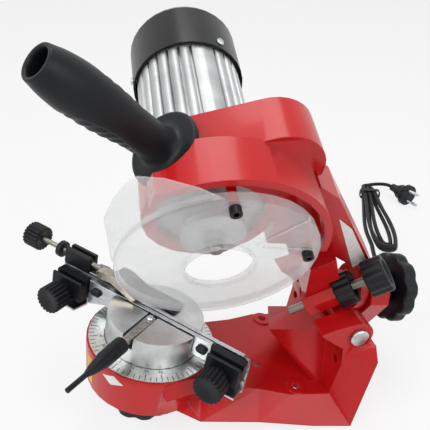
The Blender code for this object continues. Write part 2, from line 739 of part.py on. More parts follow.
def main():
    clear_scene()
    red = material("red_paint", (0.60, 0.030, 0.026), 0.30)
    black = material("black_plastic", (0.020, 0.023, 0.029), 0.42)
    black_steel = material("black_steel", (0.030, 0.030, 0.034), 0.40, 0.6)
    aluminium = material("cast_aluminium", (0.56, 0.57, 0.56), 0.40, 1.0)
    zinc = material("zinc_plate", (0.62, 0.65, 0.67), 0.28, 1.0)
    steel = material("turned_steel", (0.58, 0.56, 0.52), 0.32, 1.0)
    nickel = material("nickel_plate", (0.50, 0.47, 0.42), 0.35, 1.0)
    clear = material("clear_plastic", (0.90, 0.93, 0.92), 0.08, 0.0, 0.25)
    scale_print = material("scale_print", (0.72, 0.72, 0.72), 0.35, 0.3)
    copper = material("stator_lamination", (0.20, 0.19, 0.18), 0.5, 0.7)
    rubber = material("black_rubber", (0.015, 0.015, 0.016), 0.6)

    # The machine stands on the rear edge of its base and the rear rim of its swivel knob
    knob_rim = lobe_ring(SWIVEL_KNOB_RADIUS - TILT_KNOB_SCALLOP, TILT_KNOB_SCALLOP, TILT_KNOB_LOBES, LOBE_STEPS)
    knob_contact = max(v for u, v in knob_rim)
    knob_drop = (BASE_REAR - knob_contact) * math.tan(LEAN)
    base_lift = BASE_REAR * math.sin(LEAN)
    stand = frame("stand", None, STAND_PLACE)
    machine = frame("machine", stand, (0, 0, base_lift), (-LEAN, 0, 0))

    # Base casting: nose drum, flared table, flared rear wall, stop corbel and pivot lugs
    nose_ring = arc(NOSE_RADIUS - OVERRUN, -math.pi / 2, NOSE_FOOT_END, 5)
    foot = nose_ring + scaled(BASE_FOOT_SHARES, BASE_HALF_WIDTH, BASE_REAR)
    table_front = arc(NOSE_RADIUS - NOSE_FILLET - OVERRUN, -math.pi / 2, NOSE_FOOT_END, 5)
    table = table_front + scaled(BASE_TABLE_SHARES, BASE_FLOOR_HALF, BASE_REAR)
    foot_ring = [(u, v, 0) for u, v in mirrored(foot)]
    table_ring = [(u, v, BASE_FLOOR) for u, v in mirrored(table)]
    base = piece("base_casting", loft("base_casting", [foot_ring, table_ring]), machine, red)
    nose_profile = (
        (0, GAP), (NOSE_RADIUS, GAP), (NOSE_RADIUS + NOSE_FILLET, NOSE_TOP - NOSE_FILLET),
        (NOSE_RADIUS + NOSE_FILLET, NOSE_TOP), (0, NOSE_TOP),
    )
    join(base, helper("nose_drum", turned("nose_drum", nose_profile, FINE_STEPS), machine))
    back = [(u * BASE_HALF_WIDTH, BASE_REAR, v * WALL_TOP) for u, v in mirrored(WALL_BACK_SHARES)]
    face = [(u * WALL_HALF, WALL_FRONT, v * WALL_TOP) for u, v in mirrored(WALL_FACE_SHARES)]
    join(base, helper("rear_wall", loft("rear_wall", [face, back]), machine))
    stop_top = ((STOP_NEAR, STOP_FRONT), (STOP_NEAR, BASE_REAR - SINK), (-STOP_FAR, BASE_REAR - SINK), (-STOP_FAR, STOP_FRONT + STOP_FAR))
    stop_foot = (
        (STOP_FOOT_NEAR, STOP_FOOT_FRONT), (STOP_FOOT_NEAR, BASE_REAR - SINK),
        (-STOP_FOOT_FAR, BASE_REAR - SINK), (-STOP_FOOT_FAR, STOP_FOOT_FRONT),
    )
    corbel = loft("stop_corbel", [[(u, v, BASE_FLOOR - SINK) for u, v in stop_foot], [(u, v, STOP_TOP) for u, v in stop_top]])
    join(base, helper("stop_corbel", corbel, machine))
    notch_floor = PIVOT_HEIGHT - SPRING_RADIUS - SPRING_WIRE - SINK
    wall_notch = box(
        "wall_notch",
        (-LUG_INNER - SINK, STOP_FOOT_FRONT, notch_floor), (LUG_INNER + SINK, BASE_REAR + OVERRUN, WALL_TOP + LUG_RADIUS),
    )
    cut(base, helper("wall_notch", wall_notch, machine))
    lug_foot = WALL_TOP - LUG_RADIUS * 2
    lug_outline = [
        (BASE_REAR - SINK, lug_foot), (BASE_REAR - SINK, WALL_TOP - LUG_RADIUS / 2),
    ] + arc(LUG_RADIUS, -math.radians(20), math.radians(110), 9, (PIVOT_REACH, PIVOT_HEIGHT)) + [
        (LUG_NOSE_REACH + LUG_RADIUS, PIVOT_HEIGHT + LUG_RADIUS - LUG_NOSE_RISE),
        (LUG_NOSE_REACH, PIVOT_HEIGHT + LUG_RADIUS - LUG_NOSE_RISE * 2),
        (LUG_NOSE_REACH, PIVOT_HEIGHT), (WALL_FRONT - LUG_RADIUS / 3, PIVOT_HEIGHT - LUG_RADIUS),
        (WALL_FRONT, lug_foot),
    ]
    for side, name in ((1, "near_lug"), (-1, "far_lug")):
        low, high = sorted((side * LUG_INNER, side * LUG_OUTER))
        join(base, helper(name, prism(name, lug_outline, low, high, "yz"), machine))
    for side, name in ((1, "near_boss"), (-1, "far_boss")):
        boss = rod(name, BENCH_BOSS_RADIUS, BASE_FLOOR - SINK, BASE_FLOOR + BENCH_BOSS_RISE, SMALL_STEPS)
        join(base, helper(name, boss, machine, (side * BENCH_HOLE_SPREAD, BENCH_HOLE_REACH, 0)))
    wedge_high = NOSE_TOP - SINK / 2
    wedge = ((WEDGE_INNER, WEDGE_LOW), (WEDGE_OUTER, WEDGE_LIP), (WEDGE_CREST, wedge_high), (WEDGE_INNER, wedge_high))
    wedge_mesh = prism("nose_wedge", wedge, -WEDGE_WIDTH / 2, WEDGE_WIDTH / 2, "xz")
    join(base, helper("nose_wedge", wedge_mesh, machine, (0, 0, 0), (0, 0, WEDGE_TURN)))

    # Undersides are open, with a skin all round and a middle rib
    pocket_top = BASE_FLOOR - BASE_SKIN
    pocket_front = NOSE_RADIUS + NOSE_FILLET + BASE_SKIN
    pocket_back = WALL_FRONT - BASE_SKIN
    for side, name in ((1, "near_pocket"), (-1, "far_pocket")):
        low = [
            (side * BASE_SKIN, pocket_front, -OVERRUN), (side * BASE_SKIN, pocket_back, -OVERRUN),
            (side * (BASE_HALF_WIDTH - BASE_SKIN * 3), pocket_back, -OVERRUN),
            (side * (BASE_HALF_WIDTH - BASE_SKIN * 5), pocket_front, -OVERRUN),
        ]
        high = [
            (side * BASE_SKIN, pocket_front, pocket_top), (side * BASE_SKIN, pocket_back, pocket_top),
            (side * (BASE_FLOOR_HALF - BASE_SKIN), pocket_back, pocket_top),
            (side * (BASE_FLOOR_HALF - BASE_SKIN * 4), pocket_front, pocket_top),
        ]
        cut(base, helper(name, loft(name, [low, high]), machine))
    nose_pocket = tube(
        "nose_pocket", NOSE_RADIUS - BASE_SKIN, SWIVEL_NECK_RADIUS, -OVERRUN, NOSE_TOP - BASE_SKIN * 2, ROUND_STEPS
    )
    cut(base, helper("nose_pocket", nose_pocket, machine))
    wall_pocket = box(
        "wall_pocket",
        (-STOP_FOOT_FAR + BASE_SKIN * 2, WALL_FRONT + BASE_SKIN, BASE_FLOOR),
        (STOP_FOOT_FAR - BASE_SKIN * 2, BASE_REAR + OVERRUN, STOP_TOP - BASE_SKIN),
    )
    cut(base, helper("wall_pocket", wall_pocket, machine))
    gland_hole = rod("gland_hole", GLAND_SHANK + GAP, GLAND_INNER - OVERRUN, BASE_REAR + OVERRUN, SMALL_STEPS, "y")
    cut(base, helper("gland_hole", gland_hole, machine, (-GLAND_SIDE, 0, GLAND_HEIGHT)))

    # Holes: swivel bolt, bench, wall and pivot
    swivel_hole = rod("swivel_hole", SWIVEL_BOLT_RADIUS + RUNNING_GAP, -OVERRUN, NOSE_TOP + OVERRUN)
    cut(base, helper("swivel_hole", swivel_hole, machine))
    bench_places = (
        (BENCH_HOLE_SPREAD, BENCH_HOLE_REACH), (-BENCH_HOLE_SPREAD, BENCH_HOLE_REACH), (MIDDLE_HOLE_SIDE, MIDDLE_HOLE_REACH),
    )
    for index, place in enumerate(bench_places):
        hole = rod("bench_hole", BENCH_HOLE_RADIUS, -OVERRUN, BASE_FLOOR + BENCH_BOSS_RISE + OVERRUN, SMALL_STEPS)
        cut(base, helper(f"bench_hole_{index}", hole, machine, (*place, 0)))
    for side, name in ((1, "near_wall_hole"), (-1, "far_wall_hole")):
        hole = rod(name, WALL_HOLE_RADIUS, STOP_FOOT_FRONT, BASE_REAR + OVERRUN, SMALL_STEPS, "y")
        cut(base, helper(name, hole, machine, (side * WALL_HOLE_SPREAD, 0, WALL_HOLE_HEIGHT)))
    pivot_hole = rod("pivot_hole", PIVOT_BOLT_RADIUS + GAP, -LUG_OUTER - OVERRUN, LUG_OUTER + OVERRUN, SMALL_STEPS, "x")
    cut(base, helper("pivot_hole", pivot_hole, machine, (0, PIVOT_REACH, PIVOT_HEIGHT)))
    for side, name in ((1, "near_spot_face"), (-1, "far_spot_face")):
        low, high = sorted((side * (LUG_OUTER - GAP), side * (BASE_HALF_WIDTH + OVERRUN)))
        spot_face = rod(name, PIVOT_NUT_RADIUS + SINK, low, high, ROUND_STEPS, "x")
        cut(base, helper(name, spot_face, machine, (0, PIVOT_REACH, PIVOT_HEIGHT)))

    # Scale plate round the turntable, on the nose
    piece(
        "scale_plate",
        tube("scale_plate", SCALE_RADIUS, TURNTABLE_RADIUS + RUNNING_GAP, NOSE_TOP + GAP, NOSE_TOP + GAP + SCALE_THICKNESS, FINE_STEPS),
        machine,
        scale_print,
    )

    # Turntable, grooved for the jaws and slotted for the lever
    vise = frame("vise", machine, (0, 0, 0), (0, 0, VISE_ANGLE))
    drum_profile = ((0, NOSE_TOP + GAP), (TURNTABLE_RADIUS, NOSE_TOP + GAP), (TURNTABLE_RADIUS, TURNTABLE_TOP), (0, TURNTABLE_TOP))
    drum = piece("turntable", turned("turntable", drum_profile, FINE_STEPS), vise, aluminium)
    groove_floor = FRONT_JAW_BOTTOM - GAP
    groove = box(
        "jaw_groove",
        (-TURNTABLE_RADIUS - OVERRUN, -JAW_GROOVE_HALF, groove_floor),
        (TURNTABLE_RADIUS + OVERRUN, JAW_GROOVE_HALF, TURNTABLE_TOP + OVERRUN),
    )
    cut(drum, helper("jaw_groove", groove, vise))
    slot_outline = (
        (-LEVER_SLOT_HALF, OVERRUN - JAW_GROOVE_HALF), (-LEVER_SLOT_HALF, -TURNTABLE_RADIUS - OVERRUN),
        (LEVER_SLOT_HALF, -TURNTABLE_RADIUS - OVERRUN), (LEVER_SLOT_HALF, OVERRUN - JAW_GROOVE_HALF),
    )
    lever_slot = prism("lever_slot", slot_outline, LEVER_SLOT_FLOOR, TURNTABLE_TOP + OVERRUN)
    cut(drum, helper("lever_slot", lever_slot, vise))
    cut(drum, helper("bolt_seat", rod("bolt_seat", SWIVEL_BOLT_RADIUS + GAP, NOSE_TOP - OVERRUN, NOSE_TOP + NOSE_FILLET * 2), vise))
    screw_seat = rod(
        "stop_screw_seat", STOP_SCREW_RADIUS / 2 + GAP, TURNTABLE_TOP - STOP_SCREW_HEIGHT * 3, TURNTABLE_TOP + OVERRUN
    )
    cut(drum, helper("stop_screw_seat", screw_seat, vise, (STOP_SCREW_ALONG, STOP_SCREW_ACROSS, 0)))

    # Swivel bolt and its knob under the nose
    knob_bottom = -knob_drop
    knob_top = knob_bottom + SWIVEL_KNOB_HEIGHT
    thread_low = knob_top - SWIVEL_KNOB_HEIGHT / 2
    piece(
        "swivel_bolt",
        rod("swivel_bolt", SWIVEL_BOLT_RADIUS, thread_low, NOSE_TOP + NOSE_FILLET * 2 - GAP, SMALL_STEPS, "z", (0, 0, 0), BENCH_BOSS_RISE),
        vise,
        steel,
    )
    neck_top = -GAP
    knob_mesh = lobed("swivel_knob", SWIVEL_KNOB_RADIUS, TILT_KNOB_SCALLOP, TILT_KNOB_LOBES, knob_bottom, knob_top, TILT_KNOB_SCALLOP)
    swivel_knob = piece("swivel_knob", knob_mesh, machine, black)
    neck = rod("swivel_neck", SWIVEL_NECK_RADIUS - GAP, knob_top - SINK, neck_top, ROUND_STEPS)
    join(swivel_knob, helper("swivel_neck", neck, machine))
    knob_bore = rod("swivel_bore", SWIVEL_BOLT_RADIUS + GAP, thread_low - GAP, OVERRUN)
    cut(swivel_knob, helper("swivel_bore", knob_bore, machine))

    # Jaws: two plates in the groove, standing on edge
    half_slot = CHAIN_SLOT / 2
    front_face = half_slot + JAW_THICKNESS
    front_outline = (
        (-FRONT_JAW_LEFT, FRONT_JAW_BOTTOM), (FRONT_JAW_RIGHT, FRONT_JAW_BOTTOM), (FRONT_JAW_RIGHT, JAW_TOP), (-FRONT_JAW_LEFT, JAW_TOP),
    )
    piece("front_jaw", prism("front_jaw", front_outline, -front_face, -half_slot, "xz"), vise, zinc)
    end_left, end_right = -REAR_JAW_LEFT, REAR_JAW_RIGHT
    corner = REAR_JAW_CORNER
    rear_outline = [
        (end_left, REAR_JAW_BOTTOM), (end_left + BLOCK_LENGTH, REAR_JAW_BOTTOM),
        (-TURNTABLE_RADIUS - RUNNING_GAP * 2, FRONT_JAW_BOTTOM), (TURNTABLE_RADIUS + RUNNING_GAP * 2, FRONT_JAW_BOTTOM),
        (SCALE_RADIUS + RUNNING_GAP * 2, NOSE_TOP + SCALE_THICKNESS * 4), (SCALE_RADIUS + SCALE_THICKNESS * 7, REAR_JAW_END),
        (end_right, REAR_JAW_END),
    ] + arc(corner, 0, math.pi / 2, 5, (end_right - corner, JAW_TOP - corner)) + [(end_left, JAW_TOP)]
    piece("rear_jaw", prism("rear_jaw", rear_outline, half_slot, front_face, "xz"), vise, zinc)
    for name, along in (("guide_pin_left", -PIN_LEFT), ("guide_pin_right", PIN_RIGHT)):
        oval = [
            (along + math.copysign(PIN_SPREAD / 2, math.cos(angle)) + PIN_RADIUS * math.cos(angle), PIN_HEIGHT + PIN_RADIUS * math.sin(angle))
            for angle in (math.tau * (i + 0.5) / SMALL_STEPS for i in range(SMALL_STEPS))
        ]
        pin = prism(name, oval, -front_face - GAP - PIN_LENGTH, -front_face - GAP, "xz")
        bevelled(piece(name, pin, vise, black), PIN_LENGTH / 4, 1)

    # End blocks in front of the rear jaw, each with bracket, stud and ribbed knob
    ends = (
        ("left", -LEFT_BLOCK_INNER - BLOCK_LENGTH, -LEFT_BLOCK_INNER, -LEFT_KNOB_PLACE, -LEFT_BRACKET_PLACE),
        ("right", RIGHT_BLOCK_INNER, RIGHT_BLOCK_INNER + BLOCK_LENGTH - PIN_LENGTH, RIGHT_KNOB_PLACE, RIGHT_BRACKET_PLACE),
    )
    block_bottom = BLOCK_TOP - BLOCK_HEIGHT
    for name, low, high, knob_place, bracket_place in ends:
        block_back = half_slot - GAP
        block_mesh = box(f"{name}_block", (low, -BLOCK_FRONT, block_bottom), (high, block_back, BLOCK_TOP))
        block = piece(f"{name}_block", block_mesh, vise, black)
        bevelled(block, BLOCK_CHANNEL / 6, 1)
        channel = box(
            f"{name}_channel",
            (low - OVERRUN, -BLOCK_FRONT + BLOCK_CHANNEL / 2, BLOCK_TOP - BLOCK_CHANNEL),
            (high + OVERRUN, -BLOCK_FRONT + BLOCK_CHANNEL * 3 / 2, BLOCK_TOP + OVERRUN),
        )
        cut(block, helper(f"{name}_channel", channel, vise))
        neck_front = -BLOCK_FRONT - BLOCK_NECK_LENGTH
        neck = rod(f"{name}_neck", BLOCK_NECK_RADIUS, neck_front, SINK - BLOCK_FRONT, SMALL_STEPS, "y")
        join(block, helper(f"{name}_neck", neck, vise, (knob_place, 0, END_KNOB_HEIGHT)))
        stud_hole = rod(f"{name}_stud_hole", END_STUD_RADIUS + GAP, neck_front - OVERRUN, half_slot + OVERRUN, SMALL_STEPS, "y")
        cut(block, helper(f"{name}_stud_hole", stud_hole, vise, (knob_place, 0, END_KNOB_HEIGHT)))
        knob_back = neck_front - GAP
        knob_mesh = lobed(
            f"{name}_knob", END_KNOB_RADIUS, SINK, TILT_KNOB_LOBES * 2, -END_KNOB_LENGTH, 0, SINK, RIB_STEPS, "y"
        )
        knob = piece(f"{name}_knob", knob_mesh, vise, black, (knob_place, knob_back, END_KNOB_HEIGHT))
        stud = rod(f"{name}_stud", END_STUD_RADIUS, knob_back - END_KNOB_LENGTH / 2, half_slot - GAP, SMALL_STEPS, "y")
        join(knob, helper(f"{name}_stud", stud, vise, (knob_place, 0, END_KNOB_HEIGHT)))
        strip_back = half_slot - GAP
        sheet = BRACKET_SHEET
        strip = (
            (strip_back, block_bottom - GAP), (strip_back - sheet, block_bottom - GAP), (strip_back - sheet, END_BRACKET_FOOT + sheet),
            (-END_BRACKET_REACH, END_BRACKET_FOOT + sheet * 3), (-END_BRACKET_REACH, END_BRACKET_FOOT + sheet * 2),
            (strip_back - sheet, END_BRACKET_FOOT), (strip_back, END_BRACKET_FOOT),
        )
        bracket = prism(f"{name}_bracket", strip, bracket_place - END_BRACKET_WIDTH / 2, bracket_place + END_BRACKET_WIDTH / 2, "yz")
        piece(f"{name}_bracket", bracket, vise, nickel)

    # Slider block on the rear jaw's left end, with the adjusting screw through it
    slider_low = JAW_TOP + GAP
    slider_mesh = box("slider_block", (-SLIDER_LEFT, half_slot, slider_low), (-SLIDER_RIGHT, SLIDER_BACK, SLIDER_TOP))
    slider = piece("slider_block", slider_mesh, vise, black)
    bevelled(slider, SINK, 1)
    slider_channel = box(
        "slider_channel",
        (-SLIDER_LEFT - OVERRUN, SLIDER_BACK - SLIDER_FIN * 2, SLIDER_TOP - SLIDER_FIN_RISE),
        (-SLIDER_RIGHT + OVERRUN, SLIDER_BACK - SLIDER_FIN, SLIDER_TOP + OVERRUN),
    )
    cut(slider, helper("slider_channel", slider_channel, vise))
    rail_mesh = box(
        "slider_rail",
        (-SLIDER_RIGHT - OVERRUN, front_face + GAP, slider_low),
        (-RAIL_END, front_face + GAP + PAWL_WIDTH, RAIL_TOP),
    )
    join(slider, helper("slider_rail", rail_mesh, vise))
    screw_frame = frame("pawl_screw_axis", vise, (-SCREW_LEFT, SCREW_SIDE, SCREW_HEIGHT))
    screw_tunnel = rod("screw_tunnel", SCREW_RADIUS + GAP, 0, SCREW_LEFT, SMALL_STEPS, "x")
    cut(slider, helper("screw_tunnel", screw_tunnel, screw_frame))
    eye_along = SCREW_LEFT - PAWL_PIVOT
    fork_back = eye_along - SCREW_EYE
    screw_mesh = rod("pawl_screw", SCREW_RADIUS, -PAWL_KNOB_LENGTH / 2 + GAP, fork_back, SMALL_STEPS, "x")
    pawl_screw = piece("pawl_screw", screw_mesh, screw_frame, steel)
    knob_mesh = lobed("pawl_knob", PAWL_KNOB_RADIUS, SINK, TILT_KNOB_LOBES, -PAWL_KNOB_LENGTH, 0, SINK, LOBE_STEPS, "x")
    pawl_knob = piece("pawl_knob", knob_mesh, screw_frame, black)
    cut(pawl_knob, helper("pawl_knob_bore", rod("pawl_knob_bore", SCREW_RADIUS + GAP, -PAWL_KNOB_LENGTH / 2, OVERRUN, SMALL_STEPS, "x"), screw_frame))
    ring_along = SCREW_LEFT - LOCK_RING_PLACE
    lock_ring = tube("pawl_lock_ring", LOCK_RING_RADIUS, SCREW_RADIUS + GAP, -LOCK_RING_LENGTH / 2, LOCK_RING_LENGTH / 2, SMALL_STEPS, "x")
    piece("pawl_lock_ring", lock_ring, screw_frame, black_steel, (ring_along, 0, 0))

    # Pawl: a bent blade that hangs from the screw's eye, and the backing spring behind it
    pawl_frame = frame("pawl_axis", screw_frame, (eye_along, 0, 0))
    blade_front = -SCREW_SIDE - PAWL_FRONT
    blade_back = blade_front + PAWL_WIDTH
    pawl_mesh = prism("pawl", scaled(PAWL_UPPER_SHARES + PAWL_LOWER_SHARES, PAWL_REACH, PAWL_DROP), blade_front, blade_back, "xz")
    pawl = piece("pawl", pawl_mesh, pawl_frame, nickel)
    pin_hole = rod("pin_hole", PAWL_PIN_RADIUS + GAP, blade_front - OVERRUN, blade_back + OVERRUN, SMALL_STEPS, "y")
    cut(pawl, helper("pin_hole", pin_hole, pawl_frame))

    # Lug on the screw's end, beside the blade, and the pin through both
    lug_front = blade_back + GAP
    lug_side = arc(PAWL_LUG, -math.pi / 2, math.pi / 2, 7) + [(-SCREW_EYE - PAWL_LUG, SCREW_RADIUS), (-SCREW_EYE - PAWL_LUG, -SCREW_RADIUS)]
    lug = prism("pawl_lug", lug_side, lug_front, lug_front + PAWL_LUG_DEPTH, "xz")
    join(pawl_screw, helper("pawl_lug", lug, pawl_frame))
    pin = rod("pawl_pin", PAWL_PIN_RADIUS, blade_front, lug_front + SINK, SMALL_STEPS, "y")
    join(pawl_screw, helper("pawl_pin", pin, pawl_frame))
    backing_front = blade_back + GAP
    backing_mesh = prism(
        "pawl_backing", scaled(BACKING_SHARES, PAWL_REACH, BACKING_RISE), backing_front, backing_front + BACKING_WIDTH, "xz"
    )
    piece("pawl_backing", backing_mesh, pawl_frame, black_steel)

    # Stop bar on the turntable's rear half
    bar_low = TURNTABLE_TOP + GAP
    bar_high = bar_low + STOP_BAR_THICKNESS
    bar_mesh = box("stop_bar", (-STOP_BAR_LEFT, STOP_BAR_FRONT, bar_low), (STOP_BAR_RIGHT, STOP_BAR_BACK, bar_high))
    stop_bar = piece("stop_bar", bar_mesh, vise, black_steel)
    bevelled(stop_bar, TICK_DEPTH / 2, 1)
    tick_step = TICK_WIDTH * 2
    for i in range(STOP_BAR_TICKS):
        left = tick_step * (i - STOP_BAR_TICKS)
        tick = box(
            "tick", (left, STOP_BAR_FRONT + TICK_LENGTH / 4, bar_high - TICK_DEPTH),
            (left + TICK_WIDTH, STOP_BAR_FRONT + TICK_LENGTH * 5 / 4, bar_high + OVERRUN),
        )
        cut(stop_bar, helper(f"tick_{i}", tick, vise))
    cut(stop_bar, helper("bar_hole", rod("bar_hole", STOP_SCREW_RADIUS / 2 + GAP, bar_low - OVERRUN, bar_high + OVERRUN), vise, (STOP_SCREW_ALONG, STOP_SCREW_ACROSS, 0)))
    shank, head = STOP_SCREW_RADIUS / 2, STOP_SCREW_RADIUS
    screw_profile = (
        (0, TURNTABLE_TOP - STOP_SCREW_HEIGHT * 2), (shank, TURNTABLE_TOP - STOP_SCREW_HEIGHT * 2), (shank, bar_high + GAP),
        (head, bar_high + GAP), (head, bar_high + GAP + STOP_SCREW_HEIGHT), (shank, bar_high + GAP + STOP_SCREW_HEIGHT),
        (shank, bar_high + GAP + STOP_SCREW_HEIGHT / 3), (0, bar_high + GAP + STOP_SCREW_HEIGHT / 3),
    )
    piece("stop_bar_screw", turned("stop_bar_screw", screw_profile, SMALL_STEPS), vise, black_steel, (STOP_SCREW_ALONG, STOP_SCREW_ACROSS, 0))

    # Clamp lever: screw, flat arm in the slot, and a tapered grip
    lever = frame("lever_axis", vise, (0, -CLAMP_SCREW_BACK, 0))
    lever_top = LEVER_LOW + LEVER_THICKNESS
    arm_length = LEVER_ARM_END - CLAMP_SCREW_BACK
    arm_outline = arc(LEVER_HALF_WIDTH + SINK, -math.radians(10), math.radians(190), 9) + [
        (-LEVER_HALF_WIDTH, -arm_length), (LEVER_HALF_WIDTH, -arm_length),
    ]
    arm = piece("lever_arm", prism("lever_arm", arm_outline, LEVER_LOW, lever_top), lever, steel)
    cut(arm, helper("arm_hole", rod("arm_hole", CLAMP_SCREW_RADIUS / 2 + GAP, LEVER_LOW - OVERRUN, lever_top + OVERRUN), lever))
    clamp_profile = (
        (0, LEVER_SLOT_FLOOR + GAP), (CLAMP_SCREW_RADIUS / 2, LEVER_SLOT_FLOOR + GAP), (CLAMP_SCREW_RADIUS / 2, lever_top + GAP),
        (CLAMP_SCREW_RADIUS, lever_top + GAP), (CLAMP_SCREW_RADIUS, lever_top + GAP + STOP_SCREW_HEIGHT / 2),
        (CLAMP_SCREW_RADIUS - SINK, lever_top + GAP + STOP_SCREW_HEIGHT), (0, lever_top + GAP + STOP_SCREW_HEIGHT),
    )
    piece("clamp_screw", turned("clamp_screw", clamp_profile, SMALL_STEPS), lever, zinc)
    grip_start = arm_length + GAP
    grip_end = LEVER_GRIP_END - CLAMP_SCREW_BACK
    tail_end = LEVER_TAIL_END - CLAMP_SCREW_BACK
    grip_profile = (
        (0, -grip_start), (LEVER_GRIP_RADIUS * 0.8, -grip_start), (LEVER_GRIP_RADIUS, -grip_start - SINK),
        (LEVER_GRIP_RADIUS * 0.95, -grip_end + LEVER_GRIP_RADIUS * 2), (LEVER_GRIP_RADIUS * 0.6, -grip_end),
        (LEVER_TAIL_RADIUS, -grip_end - LEVER_GRIP_RADIUS), (LEVER_TAIL_RADIUS, -tail_end), (0, -tail_end),
    )
    grip_height = (LEVER_LOW + lever_top) / 2
    piece("lever_grip", turned("lever_grip", grip_profile, SMALL_STEPS, "y"), lever, black, (0, 0, grip_height))

    # Swing bracket: a barrel between the lugs and a flange behind them, square to the tilt axis
    swing = frame("swing", machine, (0, PIVOT_REACH, PIVOT_HEIGHT))
    barrel_half = LUG_INNER - RUNNING_GAP
    barrel = rod("swing_bracket", BARREL_RADIUS, -barrel_half, barrel_half, ROUND_STEPS, "x")
    bracket = piece("swing_bracket", barrel, swing, red)
    tilt_rise = TILT_HEIGHT - PIVOT_HEIGHT
    bridge = box(
        "bracket_bridge",
        (-BRACKET_HALF, 0, -BARREL_RADIUS + SINK),
        (BRACKET_HALF, FLANGE_FRONT - PIVOT_REACH + SINK, tilt_rise + BRACKET_RISE),
    )
    join(bracket, helper("bracket_bridge", bridge, swing))
    flange = rod(
        "bracket_flange", FLANGE_RADIUS, FLANGE_FRONT - PIVOT_REACH, FLANGE_BACK - PIVOT_REACH, FINE_STEPS, "y", (0, 0, tilt_rise), SINK
    )
    join(bracket, helper("bracket_flange", flange, swing))
    bracket_bore = rod("bracket_bore", PIVOT_BOLT_RADIUS + GAP, -LUG_OUTER, LUG_OUTER, SMALL_STEPS, "x")
    cut(bracket, helper("bracket_bore", bracket_bore, swing))
    tilt_bore = rod(
        "tilt_bore", TILT_BOLT_RADIUS + GAP, PIVOT_BOLT_RADIUS + BARREL_RADIUS / 2, FLANGE_BACK - PIVOT_REACH + OVERRUN, SMALL_STEPS, "y", (0, 0, tilt_rise)
    )
    cut(bracket, helper("tilt_bore", tilt_bore, swing))

    # Return spring round the barrel's far end, its tangs square to the lug and to the bracket
    spring_low = -LUG_INNER + GAP
    spring_high = -BRACKET_HALF - GAP
    tang = SPRING_WIRE * 2
    steps = round(SPRING_CURLS * SPRING_POINTS)
    route = [(spring_low, 0), (spring_low + tang, 0)]
    run = spring_high - spring_low - tang * 2
    route += [(spring_low + tang + run * i / steps, SPRING_CURLS * math.tau * i / steps) for i in range(1, steps)]
    route += [(spring_high - tang, SPRING_CURLS * math.tau), (spring_high, SPRING_CURLS * math.tau)]
    coil = [
        Vector((along, SPRING_RADIUS * math.cos(SPRING_START + angle), SPRING_RADIUS * math.sin(SPRING_START + angle)))
        for along, angle in route
    ]
    cord_piece("return_spring", coil, SPRING_WIRE, 1, swing, black_steel)
    print("return_spring: least gap to itself", least_gap(coil, SPRING_WIRE), "m")

    # Pivot bolt through both lugs, with its nut on the far side
    head_start = LUG_OUTER
    bolt_profile = (
        (0, -LUG_OUTER - PIVOT_BOLT_TAIL), (PIVOT_BOLT_RADIUS - SINK, -LUG_OUTER - PIVOT_BOLT_TAIL),
        (PIVOT_BOLT_RADIUS, -LUG_OUTER - PIVOT_BOLT_TAIL + SINK), (PIVOT_BOLT_RADIUS, head_start), (PIVOT_HEAD_RADIUS, head_start),
        (PIVOT_HEAD_RADIUS, head_start + PIVOT_HEAD_LENGTH - SINK), (PIVOT_HEAD_RADIUS - SINK, head_start + PIVOT_HEAD_LENGTH),
        (0, head_start + PIVOT_HEAD_LENGTH),
    )
    pivot_place = (0, PIVOT_REACH, PIVOT_HEIGHT)
    piece("pivot_bolt", turned("pivot_bolt", bolt_profile, SMALL_STEPS, "x"), machine, steel, pivot_place)
    nut_outline = circle(PIVOT_NUT_RADIUS, 6)
    pivot_nut = prism("pivot_nut", nut_outline, -LUG_OUTER - PIVOT_NUT_LENGTH, -LUG_OUTER, "yz")
    nut = piece("pivot_nut", pivot_nut, machine, steel, pivot_place)
    nut_bore = rod("nut_bore", PIVOT_BOLT_RADIUS + GAP, -LUG_OUTER * 2, 0, SMALL_STEPS, "x")
    cut(nut, helper("nut_bore", nut_bore, machine, pivot_place))

    # Head: everything that tilts
    head = frame("head", swing, (0, -PIVOT_REACH, tilt_rise), (0, HEAD_TILT, 0))
    wheel = (WHEEL_REACH, WHEEL_RISE)
    seat_ring = circle(SEAT_RADIUS, ROUND_STEPS, wheel)
    casting = piece("head_casting", prism("head_casting", seat_ring, -SEAT_BACK, -HOUSING_BACK + SINK, "yz"), head, red)
    lobe_centre = (WHEEL_REACH + LOBE_ALONG, WHEEL_RISE + LOBE_RISE)
    lobe = arc(LOBE_RADIUS, -math.radians(30), math.radians(120), 14, lobe_centre) + [
        (WHEEL_REACH - SEAT_RADIUS * 0.60, WHEEL_RISE + SEAT_RADIUS * 1.15), (WHEEL_REACH - SEAT_RADIUS * 0.64, WHEEL_RISE + SEAT_RADIUS * 0.60),
        (WHEEL_REACH, WHEEL_RISE), (WHEEL_REACH + SEAT_RADIUS * 0.9, WHEEL_RISE + SEAT_RADIUS * 0.3),
    ]
    join(casting, helper("capacitor_lobe", prism("capacitor_lobe", lobe, -SEAT_BACK + GAP, -HOUSING_BACK + SINK * 2, "yz"), head))
    rim = arc(HOUSING_RADIUS, HOUSING_START, HOUSING_END, 26, wheel)
    tip_radius = HOUSING_RADIUS * 1.03
    nose = [
        (WHEEL_REACH + tip_radius * math.cos(NOSE_TIP - math.radians(8)), WHEEL_RISE + tip_radius * math.sin(NOSE_TIP - math.radians(8))),
        (WHEEL_REACH + HOUSING_RADIUS * 0.92 * math.cos(NOSE_TIP), WHEEL_RISE + HOUSING_RADIUS * 0.92 * math.sin(NOSE_TIP)),
        (WHEEL_REACH - HOUSING_RADIUS * 0.45, WHEEL_RISE + HOUSING_RADIUS * 0.495),
    ]
    shell_outline = rim + [wheel] + nose[::-1]
    shell = prism("housing_shell", shell_outline, -HOUSING_BACK, HOUSING_FACE, "yz")
